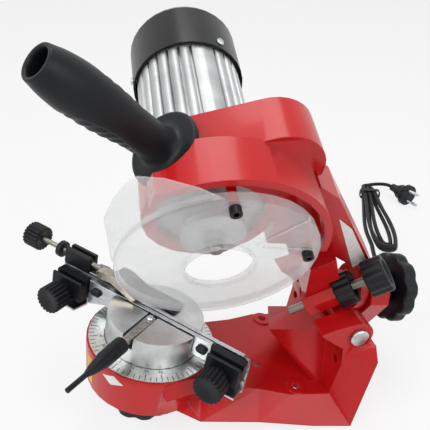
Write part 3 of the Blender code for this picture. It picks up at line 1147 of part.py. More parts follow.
    join(casting, helper("housing_shell", shell, head))
    column = scaled(COLUMN_SHARES, CLAMP_BACK, HOUSING_RADIUS + WHEEL_RISE)
    join(casting, helper("column", prism("column", column, -COLUMN_THICKNESS, 0, "yz"), head))
    clamp_outline = (
        (-CLAMP_HALF, -CLAMP_BOTTOM), (CLAMP_HALF, -CLAMP_BOTTOM), (CLAMP_HALF, CLAMP_TOP / 2), (CLAMP_HALF - CLAMP_TOP / 2, CLAMP_TOP),
        (CLAMP_SLOPE - CLAMP_HALF, CLAMP_TOP), (-CLAMP_HALF, CLAMP_TOP - CLAMP_SLOPE_DROP),
    )
    clamp_front = FLANGE_BACK + GAP
    clamp_block = prism("clamp_block", clamp_outline, clamp_front, CLAMP_BACK, "xz")
    join(casting, helper("clamp_block", clamp_block, head))

    # Depth boss on the column's near side
    depth = frame("depth_axis", head, (DEPTH_SIDE, DEPTH_TIP_ALONG, DEPTH_TIP_RISE), (DEPTH_ANGLE - math.pi / 2, 0, 0))
    boss = rod("depth_boss", DEPTH_BOSS_RADIUS, DEPTH_BOSS_START, DEPTH_BOSS_START + DEPTH_BOSS_LENGTH, 8)
    join(casting, helper("depth_boss", boss, depth))
    web_outline = scaled(DEPTH_WEB_SHARES, DEPTH_WEB_REACH, DEPTH_WEB_REACH)
    web = prism("depth_web", web_outline, -DEPTH_WEB_FAR, -DEPTH_WEB_NEAR, "yz")
    join(casting, helper("depth_web", web, depth))

    # Handle boss at the housing's front corner
    handle = frame(
        "handle_axis", head, (-HANDLE_SIDE, HANDLE_ALONG, HANDLE_UP), (math.pi / 2 - HANDLE_RISE, HANDLE_LEAN, 0)
    )
    handle_boss = rod("handle_boss", HANDLE_BOSS_RADIUS, -HANDLE_BOSS_LENGTH, -GAP, ROUND_STEPS)
    join(casting, helper("handle_boss", handle_boss, handle))

    # Lobe's hollow, hollow for the wheel, opening for the motor's shield, and seat bore
    room_outline = arc(LOBE_RADIUS - LOBE_WALL, -math.radians(5), math.radians(110), 10, lobe_centre)
    room_outline += arc(SHIELD_OPENING - OVERRUN, math.radians(95), math.radians(35), 2, wheel)
    lobe_room = prism("lobe_room", room_outline, -SEAT_BACK + LOBE_WALL, -HOUSING_BACK - BACK_PLATE - SINK, "yz")
    cut(casting, helper("lobe_room", lobe_room, head))
    wheel_room = HOUSING_RADIUS - HOUSING_SKIN
    seat_bore = SHIELD_RADIUS + GAP
    room_profile = (
        (0, -SEAT_BACK - OVERRUN), (seat_bore, -SEAT_BACK - OVERRUN), (seat_bore, -HOUSING_BACK - BACK_PLATE),
        (SHIELD_OPENING, -HOUSING_BACK - BACK_PLATE), (SHIELD_OPENING, BACK_PLATE - HOUSING_BACK), (wheel_room, BACK_PLATE - HOUSING_BACK),
        (wheel_room, HOUSING_FACE + OVERRUN), (0, HOUSING_FACE + OVERRUN),
    )
    room = turned("wheel_room", room_profile, FINE_STEPS, "x", (0, WHEEL_REACH, WHEEL_RISE))
    cut(casting, helper("wheel_room", room, head))
    seat_half = ROCKER_LENGTH / 2 + ROCKER_SLACK
    seat_side = ROCKER_WIDTH / 2 + GAP
    rocker_seat = box(
        "rocker_seat",
        (-SEAT_BACK - OVERRUN, lobe_centre[0] - seat_side, lobe_centre[1] - seat_half),
        (-SEAT_BACK + LOBE_WALL + OVERRUN, lobe_centre[0] + seat_side, lobe_centre[1] + seat_half),
    )
    cut(casting, helper("rocker_seat", rocker_seat, head))
    rod_hole = rod("rod_hole", DEPTH_ROD_RADIUS + GAP, -OVERRUN, DEPTH_ROD_LENGTH + OVERRUN)
    cut(casting, helper("rod_hole", rod_hole, depth))
    clamp_hole = rod("clamp_hole", TILT_BOLT_RADIUS + GAP, clamp_front - OVERRUN, CLAMP_BACK + OVERRUN, SMALL_STEPS, "y")
    cut(casting, helper("clamp_hole", clamp_hole, head))
    handle_hole = rod("handle_hole", HANDLE_STUD_RADIUS + GAP, -HANDLE_BOSS_LENGTH / 2, OVERRUN)
    cut(casting, helper("handle_hole", handle_hole, handle))
    handle_seat = rod("handle_seat", HANDLE_FLANGE_RADIUS + SINK, 0, HANDLE_FLANGE_LENGTH * 3, FINE_STEPS)
    cut(casting, helper("handle_seat", handle_seat, handle))

    # Tilt bolt and the large knob behind the column
    tilt = frame("tilt_axis", head, (0, 0, 0))
    knob_start = CLAMP_BACK + GAP
    knob_mesh = lobed(
        "tilt_knob", TILT_KNOB_RADIUS, TILT_KNOB_SCALLOP, TILT_KNOB_LOBES, TILT_KNOB_START, TILT_KNOB_START + TILT_KNOB_LENGTH, TILT_KNOB_SCALLOP, LOBE_STEPS, "y"
    )
    tilt_knob = piece("tilt_knob", knob_mesh, tilt, black)
    knob_neck = rod("tilt_neck", TILT_KNOB_NECK, knob_start, TILT_KNOB_START + SINK, ROUND_STEPS, "y")
    join(tilt_knob, helper("tilt_neck", knob_neck, tilt))
    bolt_end = TILT_KNOB_START + TILT_KNOB_LENGTH / 2
    knob_bore = rod("tilt_knob_bore", TILT_BOLT_RADIUS + GAP, knob_start - OVERRUN, bolt_end + GAP, SMALL_STEPS, "y")
    cut(tilt_knob, helper("tilt_knob_bore", knob_bore, tilt))
    bolt_start = PIVOT_REACH + PIVOT_BOLT_RADIUS + BARREL_RADIUS / 2 + GAP
    tilt_bolt = rod("tilt_bolt", TILT_BOLT_RADIUS, bolt_start, bolt_end, SMALL_STEPS, "y", (0, 0, 0), SINK)
    piece("tilt_bolt", tilt_bolt, tilt, steel)

    # Motor: shields, finned body, stator, rotor, spindle, bearings, fan and cover
    motor = frame("motor_axis", head, (0, WHEEL_REACH, WHEEL_RISE))
    front_start = -HOUSING_BACK - BACK_PLATE - GAP
    front_end = front_start - SHIELD_THICKNESS
    bearing_bore = BEARING_RADIUS + GAP
    cup_end = front_end - BEARING_LENGTH
    front_shield = (
        (SPINDLE_RADIUS + RUNNING_GAP, front_start), (SHIELD_RADIUS, front_start), (SHIELD_RADIUS, front_end),
        (bearing_bore + BODY_SKIN, front_end), (bearing_bore + BODY_SKIN, cup_end), (bearing_bore, cup_end),
        (bearing_bore, front_end + BODY_SKIN / 2), (SPINDLE_RADIUS + RUNNING_GAP, front_end + BODY_SKIN / 2),
    )
    piece("front_shield", turned("front_shield", front_shield, FINE_STEPS, "x"), motor, aluminium)
    body_start = front_end - GAP
    body_end = -COVER_START
    body = piece(
        "motor_body",
        tube("motor_body", SHIELD_RADIUS - BODY_FIN, STATOR_RADIUS + GAP, body_end, body_start, FINE_STEPS, "x"),
        motor,
        aluminium,
    )
    fins = []
    root = SHIELD_RADIUS - BODY_FIN
    half_gap = FIN_GAP / 2 / BODY_RADIUS
    band_half = BODY_BAND / 2 / BODY_RADIUS
    pitch = (math.tau - band_half * 2 - half_gap * 2) / BODY_FINS
    first = math.pi / 2 + band_half + half_gap
    lands = [(math.pi / 2, band_half)] + [(first + pitch * (i + 0.5), pitch / 2 - half_gap) for i in range(BODY_FINS)]
    for centre, step in lands:
        fins += [
            (root * math.cos(centre - step), root * math.sin(centre - step)),
            (BODY_RADIUS * math.cos(centre - step), BODY_RADIUS * math.sin(centre - step)),
            (BODY_RADIUS * math.cos(centre), BODY_RADIUS * math.sin(centre)),
            (BODY_RADIUS * math.cos(centre + step), BODY_RADIUS * math.sin(centre + step)),
            (root * math.cos(centre + step), root * math.sin(centre + step)),
        ]
    fin_mesh = prism("motor_fins", fins, body_end, -SEAT_BACK - GAP, "yz")
    fin_helper = helper("motor_fins", fin_mesh, motor)
    cut(fin_helper, helper("fin_core", rod("fin_core", root - SINK, body_end - OVERRUN, 0, FINE_STEPS, "x"), motor))
    join(body, fin_helper)
    rear_start = body_end - GAP
    rear_end = rear_start - SHIELD_THICKNESS
    rear_cup = rear_start + BEARING_LENGTH
    rear_shield = (
        (SPINDLE_RADIUS + RUNNING_GAP, rear_end), (SHIELD_RADIUS, rear_end), (SHIELD_RADIUS, rear_start),
        (bearing_bore + BODY_SKIN, rear_start), (bearing_bore + BODY_SKIN, rear_cup), (bearing_bore, rear_cup),
        (bearing_bore, rear_start - BODY_SKIN / 2), (SPINDLE_RADIUS + RUNNING_GAP, rear_start - BODY_SKIN / 2),
    )
    rear = piece("rear_shield", turned("rear_shield", rear_shield, FINE_STEPS, "x"), motor, aluminium)
    middle = (body_start + body_end) / 2
    stator = tube("stator_core", STATOR_RADIUS, STATOR_BORE, middle - STATOR_LENGTH / 2, middle + STATOR_LENGTH / 2, ROUND_STEPS, "x")
    piece("stator_core", stator, motor, copper)
    spinning = frame("spindle_axis", motor)
    rotor = tube(
        "rotor_core", ROTOR_RADIUS, SPINDLE_RADIUS + GAP, middle - ROTOR_LENGTH / 2, middle + ROTOR_LENGTH / 2, ROUND_STEPS, "x"
    )
    piece("rotor_core", rotor, spinning, copper)
    front_bearing = front_end + BODY_SKIN / 2 - GAP
    rear_bearing = rear_start - BODY_SKIN / 2 + GAP
    for name, low, high in (
        ("front_bearing", front_bearing - BEARING_LENGTH, front_bearing), ("rear_bearing", rear_bearing, rear_bearing + BEARING_LENGTH),
    ):
        piece(name, tube(name, BEARING_RADIUS, SPINDLE_RADIUS + GAP, low, high, ROUND_STEPS, "x"), motor, steel)
    fan_start = rear_end - SHIELD_THICKNESS / 2
    fan_end = fan_start - FAN_LENGTH
    spindle = rod("spindle", SPINDLE_RADIUS, fan_end - SINK, SPINDLE_END, SMALL_STEPS, "x", (0, 0, 0), SINK)
    piece("spindle", spindle, spinning, steel)
    fan_profile = (
        (SPINDLE_RADIUS + GAP, fan_end), (FAN_HUB, fan_end), (FAN_HUB, fan_start - BLADE_THICKNESS),
        (FAN_RADIUS, fan_start - BLADE_THICKNESS), (FAN_RADIUS, fan_start), (SPINDLE_RADIUS + GAP, fan_start),
    )
    fan = piece("cooling_fan", turned("cooling_fan", fan_profile, ROUND_STEPS, "x"), spinning, black)
    blade_half = BLADE_THICKNESS / 2
    for i in range(FAN_BLADES):
        blade = box(
            "fan_blade", (fan_end, FAN_HUB - SINK, -blade_half), (fan_start - SINK, FAN_RADIUS - BLADE_THICKNESS, blade_half)
        )
        join(fan, helper(f"fan_blade_{i}", blade, spinning, (0, 0, 0), (math.tau * i / FAN_BLADES, 0, 0)))
    flange_low = -WHEEL_FLANGE_BACK
    flange = tube(
        "wheel_flange", WHEEL_FLANGE_RADIUS, SPINDLE_RADIUS + GAP, flange_low, flange_low + WHEEL_FLANGE_LENGTH, ROUND_STEPS, "x"
    )
    piece("wheel_flange", flange, spinning, aluminium)
    nut_low = flange_low + WHEEL_FLANGE_LENGTH + GAP
    nut = piece("spindle_nut", prism("spindle_nut", circle(SPINDLE_NUT_RADIUS, 6), nut_low, nut_low + SPINDLE_NUT_LENGTH, "yz"), spinning, steel)
    cut(nut, helper("spindle_nut_bore", rod("spindle_nut_bore", SPINDLE_RADIUS + GAP, 0, nut_low * 4, SMALL_STEPS, "x"), spinning))

    # Fan cover: a cup over the body's end, slotted in its top
    lip = body_end + COVER_ROUND
    top = lip - COVER_LENGTH
    skin = COVER_SKIN
    cover_profile = (
        (COVER_RADIUS - skin, lip), (COVER_RADIUS, lip), (COVER_RADIUS, top + COVER_ROUND),
        (COVER_RADIUS - COVER_ROUND * 0.3, top + COVER_ROUND * 0.3), (COVER_RADIUS - COVER_ROUND, top), (0, top),
        (0, top + skin), (COVER_RADIUS - COVER_ROUND, top + skin), (COVER_RADIUS - skin, top + COVER_ROUND),
    )
    cover = piece("fan_cover", turned("fan_cover", cover_profile, FINE_STEPS, "x"), motor, black)
    slot_half = COVER_SLOT_WIDTH / 2
    for i in range(COVER_SLOTS):
        slot = box(
            "cover_slot", (top - OVERRUN, COVER_SLOT_INNER, -slot_half), (top + skin + OVERRUN, COVER_SLOT_OUTER, slot_half)
        )
        cut(cover, helper(f"cover_slot_{i}", slot, motor, (0, 0, 0), (math.tau * i / COVER_SLOTS, 0, 0)))
    screw_along = body_end + COVER_ROUND - COVER_SCREW_BACK
    head_low = COVER_RADIUS + GAP
    shank_low = SHIELD_RADIUS - BODY_SKIN
    cover_screw = (
        (0, shank_low), (COVER_SCREW_SHANK, shank_low), (COVER_SCREW_SHANK, head_low), (COVER_SCREW_RADIUS, head_low),
        (COVER_SCREW_RADIUS * 0.75, head_low + COVER_SCREW_SHANK * 0.8), (0, head_low + COVER_SCREW_SHANK),
    )
    for index, turn in enumerate(COVER_SCREW_TURNS):
        place = (rear_start - SHIELD_THICKNESS / 2, 0, 0)
        screw = piece(f"cover_screw_{index + 1}", turned("cover_screw", cover_screw, SMALL_STEPS), motor, steel, place, (turn, 0, 0))
        for target, name in ((cover, "cover"), (rear, "shield")):
            hole = rod("screw_hole", COVER_SCREW_SHANK + GAP, shank_low - GAP, head_low + OVERRUN, SMALL_STEPS)
            cut(target, helper(f"{name}_screw_hole_{index}", hole, motor, place, (turn, 0, 0)))

    # Rocker of the switch, in the lobe's far face beside the motor
    rocker_axis = frame("rocker_axis", head, (-SEAT_BACK + ROCKER_INSET, *lobe_centre))
    half = ROCKER_LENGTH / 2
    outer = -ROCKER_INSET - ROCKER_PROUD
    inner = ROCKER_DEPTH - ROCKER_INSET
    rocker_outline = (
        (inner, -half / 2), (inner, half / 2), (-ROCKER_INSET / 2, half), (outer, half),
        (outer + ROCKER_DIP, 0), (outer, -half), (-ROCKER_INSET / 2, -half),
    )
    rocker = piece(
        "rocker_switch", prism("rocker_switch", rocker_outline, -ROCKER_WIDTH / 2, ROCKER_WIDTH / 2, "xz"), rocker_axis, black
    )
    bevelled(rocker, SINK / 2, 1)

    # Clear guard: a shallow dish in front of the housing, with its fin, skirt, hub ring and ribs
    guard = frame("guard", head, (0, WHEEL_REACH, WHEEL_RISE))
    inner_face = GUARD_FACE - GUARD_SKIN
    dish = (
        (HUB_RING_RADIUS - HUB_RING_SKIN, inner_face), (GUARD_RADIUS - GUARD_SKIN, inner_face), (GUARD_RADIUS - GUARD_SKIN, inner_face - GUARD_DEPTH),
        (GUARD_RADIUS, inner_face - GUARD_DEPTH), (GUARD_RADIUS, GUARD_FACE - GUARD_SKIN / 2), (GUARD_RADIUS - GUARD_SKIN / 2, GUARD_FACE),
        (HUB_RING_RADIUS, GUARD_FACE), (HUB_RING_RADIUS, GUARD_FACE + HUB_RING_RISE), (HUB_RING_RADIUS - HUB_RING_SKIN, GUARD_FACE + HUB_RING_RISE),
    )
    wheel_guard = piece("wheel_guard", turned("wheel_guard", dish, FINE_STEPS, "x"), guard, clear)
    hub_clear = rod("hub_clear", HUB_RING_RADIUS - HUB_RING_SKIN / 2, 0, GUARD_FACE * 2, FINE_STEPS, "x")
    fin = helper("guard_fin", prism("guard_fin", scaled(FIN_SHARES, GUARD_RADIUS, GUARD_RADIUS), inner_face, GUARD_FACE, "yz"), guard)
    cut(fin, helper("fin_clear", hub_clear, guard))
    join(wheel_guard, fin)
    skirt = helper("guard_skirt", prism("guard_skirt", scaled(SKIRT_SHARES, GUARD_RADIUS, GUARD_RADIUS), inner_face, GUARD_FACE, "yz"), guard)
    cut(skirt, helper("skirt_clear", hub_clear, guard))
    join(wheel_guard, skirt)
    for index, ends in enumerate(GUARD_RIB_SHARES):
        (near_y, near_z), (far_y, far_z) = scaled(ends, GUARD_RADIUS, GUARD_RADIUS)
        side = Vector((near_z - far_z, far_y - near_y)).normalized() * GUARD_RIB / 2
        rib_outline = (
            (near_y + side.x, near_z + side.y), (near_y - side.x, near_z - side.y),
            (far_y - side.x, far_z - side.y), (far_y + side.x, far_z + side.y),
        )
        rib = prism(f"guard_rib_{index}", rib_outline, inner_face, GUARD_FACE + GUARD_RIB_RISE, "yz")
        join(wheel_guard, helper(f"guard_rib_{index}", rib, guard))

    # Guard screws on spacers from the housing's face
    pillar_base = -HOUSING_BACK + BACK_PLATE - SINK
    pillar_top = inner_face - GAP
    guard_screws = [
        ("guard_screw_upper", (0, *scaled([GUARD_SCREW_UPPER_SHARES], GUARD_RADIUS, GUARD_RADIUS)[0])),
        ("guard_screw_rear", (0, *scaled([GUARD_SCREW_REAR_SHARES], GUARD_RADIUS, GUARD_RADIUS)[0])),
    ]
    for name, spot in guard_screws:
        thread = GUARD_SCREW_SHANK + GAP
        thread_end = pillar_top - GUARD_SCREW_HEAD - GAP
        pillar_profile = (
            (0, pillar_base), (SPACER_RADIUS, pillar_base), (SPACER_RADIUS, pillar_top), (thread, pillar_top), (thread, thread_end),
            (0, thread_end),
        )
        pillar = turned(f"{name}_pillar", pillar_profile, SMALL_STEPS, "x")
        join(casting, helper(f"{name}_pillar", pillar, guard, spot))
    for name, spot in guard_screws:
        shank = rod(f"{name}_hole", GUARD_SCREW_SHANK + GAP, inner_face - GUARD_DEPTH * 2, GUARD_FACE + OVERRUN, SMALL_STEPS, "x")
        cut(wheel_guard, helper(f"{name}_hole", shank, guard, spot))
        head_at = GUARD_FACE + GAP
        screw_profile = (
            (0, pillar_top - GUARD_SCREW_HEAD), (GUARD_SCREW_SHANK, pillar_top - GUARD_SCREW_HEAD), (GUARD_SCREW_SHANK, head_at),
            (GUARD_SCREW_RADIUS, head_at), (GUARD_SCREW_RADIUS, head_at + GUARD_SCREW_HEAD), (GUARD_SCREW_SHANK, head_at + GUARD_SCREW_HEAD),
            (GUARD_SCREW_SHANK, head_at + GUARD_SCREW_HEAD / 2), (0, head_at + GUARD_SCREW_HEAD / 2),
        )
        piece(name, turned(name, screw_profile, SMALL_STEPS, "x"), guard, black_steel, spot)

    # Handle: flange, waisted grip with a grooved panel, hollow end
    start = GAP
    flange_end = start + HANDLE_FLANGE_LENGTH
    full = flange_end + HANDLE_LENGTH
    dished = HANDLE_FLANGE_RADIUS
    grip_profile = (
        (0, start), (dished * 0.45, start), (dished * 0.88, start + HANDLE_FLANGE_LENGTH * 0.15), (dished, start + HANDLE_FLANGE_LENGTH * 0.42),
        (dished * 0.985, start + HANDLE_FLANGE_LENGTH * 0.62), (dished * 0.92, start + HANDLE_FLANGE_LENGTH * 0.70),
        (dished * 0.72, start + HANDLE_FLANGE_LENGTH * 0.66), (HANDLE_ROOT_RADIUS * 1.12, flange_end), (HANDLE_ROOT_RADIUS, flange_end + HANDLE_LENGTH * 0.08),
        (HANDLE_BELLY_RADIUS * 0.86, flange_end + HANDLE_LENGTH * 0.3), (HANDLE_BELLY_RADIUS, flange_end + HANDLE_LENGTH * 0.55),
        (HANDLE_BELLY_RADIUS * 0.98, flange_end + HANDLE_LENGTH * 0.75), (HANDLE_END_RADIUS, full - HANDLE_LENGTH * 0.03), (HANDLE_END_RADIUS - SINK, full),
        (HANDLE_BORE, full), (HANDLE_BORE - SINK, full - HANDLE_BORE_DEPTH), (0, full - HANDLE_BORE_DEPTH),
    )
    grip = piece("handle_grip", turned("handle_grip", grip_profile, ROUND_STEPS), handle, black)
    stud = rod("handle_stud", HANDLE_STUD_RADIUS, -HANDLE_BOSS_LENGTH / 2 + GAP, flange_end, SMALL_STEPS, "z", (0, 0, 0), SINK)
    join(grip, helper("handle_stud", stud, handle))

    # Depth stop: threaded rod, its knob, and the lock knob on the boss
    lock_start = DEPTH_BOSS_START + DEPTH_BOSS_LENGTH + GAP
    knob_at = DEPTH_ROD_LENGTH - DEPTH_KNOB_LENGTH / 2
    rod_mesh = rod("depth_rod", DEPTH_ROD_RADIUS, 0, DEPTH_ROD_LENGTH, SMALL_STEPS, "z", (0, 0, 0), SINK)
    piece("depth_rod", rod_mesh, depth, steel)
    lock_mesh = lobed("depth_lock_knob", DEPTH_LOCK_RADIUS, TILT_KNOB_SCALLOP / 2, TILT_KNOB_LOBES, lock_start, lock_start + DEPTH_LOCK_LENGTH, SINK)
    lock = piece("depth_lock_knob", lock_mesh, depth, black)
    lock_bore = rod("lock_bore", DEPTH_ROD_RADIUS + GAP, 0, DEPTH_ROD_LENGTH)
    cut(lock, helper("lock_bore", lock_bore, depth))
    end_mesh = lobed("depth_knob", DEPTH_KNOB_RADIUS, TILT_KNOB_SCALLOP / 2, TILT_KNOB_LOBES, knob_at, knob_at + DEPTH_KNOB_LENGTH, SINK)
    end_knob = piece("depth_knob", end_mesh, depth, black)
    end_bore = rod("end_bore", DEPTH_ROD_RADIUS + GAP, knob_at - OVERRUN, DEPTH_ROD_LENGTH + GAP)
    cut(end_knob, helper("end_bore", end_bore, depth))
    hollow = rod("end_hollow", DEPTH_KNOB_RADIUS * 0.62, DEPTH_ROD_LENGTH + GAP - SINK, knob_at + DEPTH_KNOB_LENGTH + OVERRUN)
    cut(end_knob, helper("end_hollow", hollow, depth))

    # Gland in the rear wall
    flange_at = BASE_REAR + GAP
    nozzle_at = flange_at + GLAND_FLANGE_LENGTH
    gland_end = nozzle_at + GLAND_NOZZLE_LENGTH
    bore = CORD_RADIUS + GAP
    gland_profile = (
        (bore, GLAND_INNER), (GLAND_SHANK, GLAND_INNER), (GLAND_SHANK, flange_at), (GLAND_FLANGE, flange_at), (GLAND_FLANGE, nozzle_at),
        (GLAND_SHANK, nozzle_at), (GLAND_NOZZLE, gland_end), (bore, gland_end),
    )
    gland_place = (-GLAND_SIDE, 0, GLAND_HEIGHT)
    piece("cord_gland", turned("cord_gland", gland_profile, SMALL_STEPS, "y"), machine, rubber, gland_place)

    # Hank: loops spiral in on the table and out again above, drawn in where they are tied
    hank = frame("hank", stand, (*HANK_PLACE, 0), (0, 0, HANK_TURN))
    last = round((HANK_END_SHARE - HANK_START_SHARE) * HANK_POINTS)
    loops = [
        hank_point(HANK_START_SHARE + (HANK_END_SHARE - HANK_START_SHARE) * i / last) for i in range(last + 1)
    ]
    lead = (loops[0] - loops[1]).normalized() * CORD_RADIUS * 2
    plug_axis = Vector((math.cos(PLUG_TURN), math.sin(PLUG_TURN), 0))
    plug_rear = Vector((*PLUG_PLACE, PLUG_FACE_RADIUS + GAP))
    tail_end = plug_rear - plug_axis * GAP
    tail_start = tail_end - plug_axis * CORD_RADIUS * 2
    tail = smooth([loops[-2], loops[-1], *[Vector(point) for point in HANK_TAIL], tail_start, tail_end], CORD_RADIUS * 3)
    wound = [loops[0] + lead] + loops[:-2] + tail
    cord_piece("cord_hank", wound, CORD_RADIUS, 1, hank, rubber)
    print("cord_hank: least gap to itself", least_gap(wound, CORD_RADIUS), "m; length", length_of(wound), "m")

    # Free stretch from the gland to the hank
    to_stand = Matrix.Translation((0, 0, base_lift)) @ Matrix.Rotation(-LEAN, 4, "X")
    from_hank = Matrix.Translation((*HANK_PLACE, 0)) @ Matrix.Rotation(HANK_TURN, 4, "Z")
    straight = CORD_RADIUS * 2
    leaving = [
        to_stand @ Vector((-GLAND_SIDE, reach, GLAND_HEIGHT)) for reach in (GLAND_INNER + CORD_INSET, BASE_REAR, gland_end, gland_end + straight)
    ]
    arriving = loops[0] + lead + lead.normalized() * GAP
    meeting = [from_hank @ (arriving + lead), from_hank @ arriving]
    middle_run = [Vector((across, reach, CORD_REST)) for across, reach in CORD_ROUTE]
    free = smooth([*leaving, *middle_run, *meeting], CORD_RADIUS * 5)
    cord_piece("cord", free, CORD_RADIUS, 2, stand, rubber)
    print("cord: length", length_of(free), "m")

    # Tie round the hank's waist
    strands = [point for point in loops if abs(point.x - HANK_TIE_REACH) < TIE_WIDTH * 3]
    reach_out = CORD_RADIUS + RUNNING_GAP
    low_y = min(point.y for point in strands) - reach_out
    high_y = max(point.y for point in strands) + reach_out
    low_z = CORD_REST + HANK_LIFT - reach_out
    high_z = CORD_REST + HANK_LIFT + HANK_LAYER + reach_out
    opening_outline = rounded(low_y, high_y, low_z, high_z, TIE_CORNER)
    skin = TIE_THICKNESS
    band_outline = rounded(low_y - skin, high_y + skin, low_z - skin, high_z + skin, TIE_CORNER + skin)
    tie_low = HANK_TIE_REACH - TIE_WIDTH / 2
    tie = piece("cord_tie", prism("cord_tie", band_outline, tie_low, tie_low + TIE_WIDTH, "yz"), hank, black)
    tie_hole = prism("tie_hole", opening_outline, tie_low - OVERRUN, tie_low + TIE_WIDTH + OVERRUN, "yz")
    cut(tie, helper("tie_hole", tie_hole, hank))

    # Plug: grip and two pins, one above the other
    plug_frame = frame("plug_frame", hank, plug_rear, (0, 0, PLUG_TURN))
    face_at = PLUG_LENGTH - PLUG_FACE_LENGTH
    plug_profile = (
        (0, 0), (PLUG_TAIL_RADIUS, 0), (PLUG_TAIL_RADIUS + SINK, PLUG_LENGTH / 4), (PLUG_GRIP_RADIUS, PLUG_LENGTH / 2),
        (PLUG_GRIP_RADIUS, face_at - SINK), (PLUG_FACE_RADIUS - SINK, face_at), (PLUG_FACE_RADIUS, face_at + SINK),
        (PLUG_FACE_RADIUS, PLUG_LENGTH - SINK), (PLUG_FACE_RADIUS - SINK, PLUG_LENGTH), (0, PLUG_LENGTH),
    )
    plug = piece("plug", turned("plug", plug_profile, ROUND_STEPS, "x"), plug_frame, black)
    for name, side in (("upper_pin", 1), ("lower_pin", -1)):
        pin = rod(name, PLUG_PIN_RADIUS, PLUG_LENGTH - SINK, PLUG_LENGTH + PLUG_PIN_LENGTH, SMALL_STEPS, "x", (0, 0, side * PIN_SPACING / 2), SINK)
        join(plug, helper(name, pin, plug_frame))


main()
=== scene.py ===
"""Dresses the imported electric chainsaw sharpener. The CAD model is the fixed frame, and every piece rides on
one of its bodies. Lengths are metres in the row frame, and angles are degrees until they are used."""

import math

import bmesh
import bpy
import numpy as np
from bpy.props import FloatProperty, IntProperty, PointerProperty, StringProperty
from mathutils import Matrix, Vector
from mathutils.bvhtree import BVHTree


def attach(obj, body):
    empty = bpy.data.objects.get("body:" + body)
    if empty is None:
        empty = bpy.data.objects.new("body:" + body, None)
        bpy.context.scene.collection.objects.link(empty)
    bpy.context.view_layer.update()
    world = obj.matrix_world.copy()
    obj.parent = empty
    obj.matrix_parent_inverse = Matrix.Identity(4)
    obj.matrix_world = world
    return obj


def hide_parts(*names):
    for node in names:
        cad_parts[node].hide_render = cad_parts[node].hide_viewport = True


bl_info = {
    "name": "Chainsaw Sharpener Dressing",
    "version": (1, 0, 0),
    "blender": (4, 5, 0),
    "location": "View3D > Sidebar > Sharpener",
    "description": "Builds the finished looks of a bench chainsaw sharpener around its packed CAD frame",
    "category": "Object",
}

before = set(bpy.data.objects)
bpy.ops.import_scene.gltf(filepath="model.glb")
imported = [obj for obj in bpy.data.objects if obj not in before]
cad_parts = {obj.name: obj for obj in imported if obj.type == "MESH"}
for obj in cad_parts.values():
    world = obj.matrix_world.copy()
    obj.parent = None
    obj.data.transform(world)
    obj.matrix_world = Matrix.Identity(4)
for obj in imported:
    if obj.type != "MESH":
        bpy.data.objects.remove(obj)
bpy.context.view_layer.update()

MM = 0.001
SLEEVE = 0.00012  # how far a painted mark stands off what carries it
FLAT = 0.7  # degrees between faces that are one flat face
POLE = 0.0002  # radius of the small end face that closes a turned or moulded shape on its axis


# Frames
def move(x, y, z):
    """A 4x4 that shifts by x, y, z."""
    matrix = np.eye(4)
    matrix[:3, 3] = x, y, z
    return matrix


def turn(axis, degrees):
    """A 4x4 that turns about the X, Y or Z axis by the right-hand rule."""
    c, s = math.cos(math.radians(degrees)), math.sin(math.radians(degrees))
    i, j = {"X": (1, 2), "Y": (2, 0), "Z": (0, 1)}[axis]
    matrix = np.eye(4)
    matrix[i, i] = matrix[j, j] = c
    matrix[i, j], matrix[j, i] = -s, s
    return matrix


def at(matrix, points):
    """Points of a local frame, in the row frame."""
    points = np.asarray(points, float)
    return points @ matrix[:3, :3].T + matrix[:3, 3]


LEAN = 12.19
VISE_ANGLE = 47.0
HEAD_TILT = 24.54
STAND = move(0.0506, -0.0862, 0)
MACHINE = STAND @ move(0, 0, 0.04012) @ turn("X", -LEAN)
VISE = MACHINE @ turn("Z", VISE_ANGLE)
HEAD = MACHINE @ move(0, 0, 0.107) @ turn("Y", HEAD_TILT)


# Mesh helpers
def make_piece(name, points, faces, body, stands_for=(), sharp=40.0):
    """Puts points of the row frame and faces into a mesh, turns the faces outwards, and lets it ride."""
    mesh = bpy.data.meshes.new(name)
    mesh.from_pydata(np.asarray(points, float).tolist(), [], [list(f) for f in faces])
    mesh.validate()
    work = bmesh.new()
    work.from_mesh(mesh)
    bmesh.ops.remove_doubles(work, verts=work.verts, dist=2e-6)
    bmesh.ops.recalc_face_normals(work, faces=work.faces)
    work.to_mesh(mesh)
    work.free()
    return settle(name, mesh, body, stands_for, sharp)


def settle(name, mesh, body, stands_for, sharp):
    """Links a mesh as a smooth-shaded object with its sharp edges kept, riding on a CAD body."""
    mesh.shade_smooth()
    mesh.set_sharp_from_angle(angle=math.radians(sharp))
    made = bpy.data.objects.new(name, mesh)
    bpy.context.scene.collection.objects.link(made)
    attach(made, body)
    if stands_for:
        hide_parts(*stands_for)
    return made


def finished_copy(node, body, sharp=32.0):
    """A CAD solid's copy with its doubles merged and flat areas joined, so that its curves shade smoothly."""
    work = bmesh.new()
    work.from_mesh(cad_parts[node].data)
    bmesh.ops.remove_doubles(work, verts=work.verts, dist=3e-6)
    bmesh.ops.dissolve_degenerate(work, edges=work.edges, dist=2e-6)
    bmesh.ops.dissolve_limit(work, angle_limit=math.radians(FLAT), verts=work.verts, edges=work.edges)
    mesh = bpy.data.meshes.new(node + "_finished")
    work.to_mesh(mesh)
    work.free()
    made = settle(node + "_finished", mesh, body, (node,), sharp)
    even = made.modifiers.new("even_normals", "WEIGHTED_NORMAL")
    even.keep_sharp, even.weight = True, 60
    return made


def ring_faces(rings, around, first=0, closed=True):
    """Quads between rows of a grid: row i, column j to the next row and column, and round to column 0."""
    i = np.arange(rings - 1)[:, None] * around
    j = np.arange(around if closed else around - 1)[None, :]
    k = (j + 1) % around
    quads = np.stack([i + j, i + k, i + around + k, i + around + j], axis=-1)
    return (quads.reshape(-1, 4) + first).tolist()


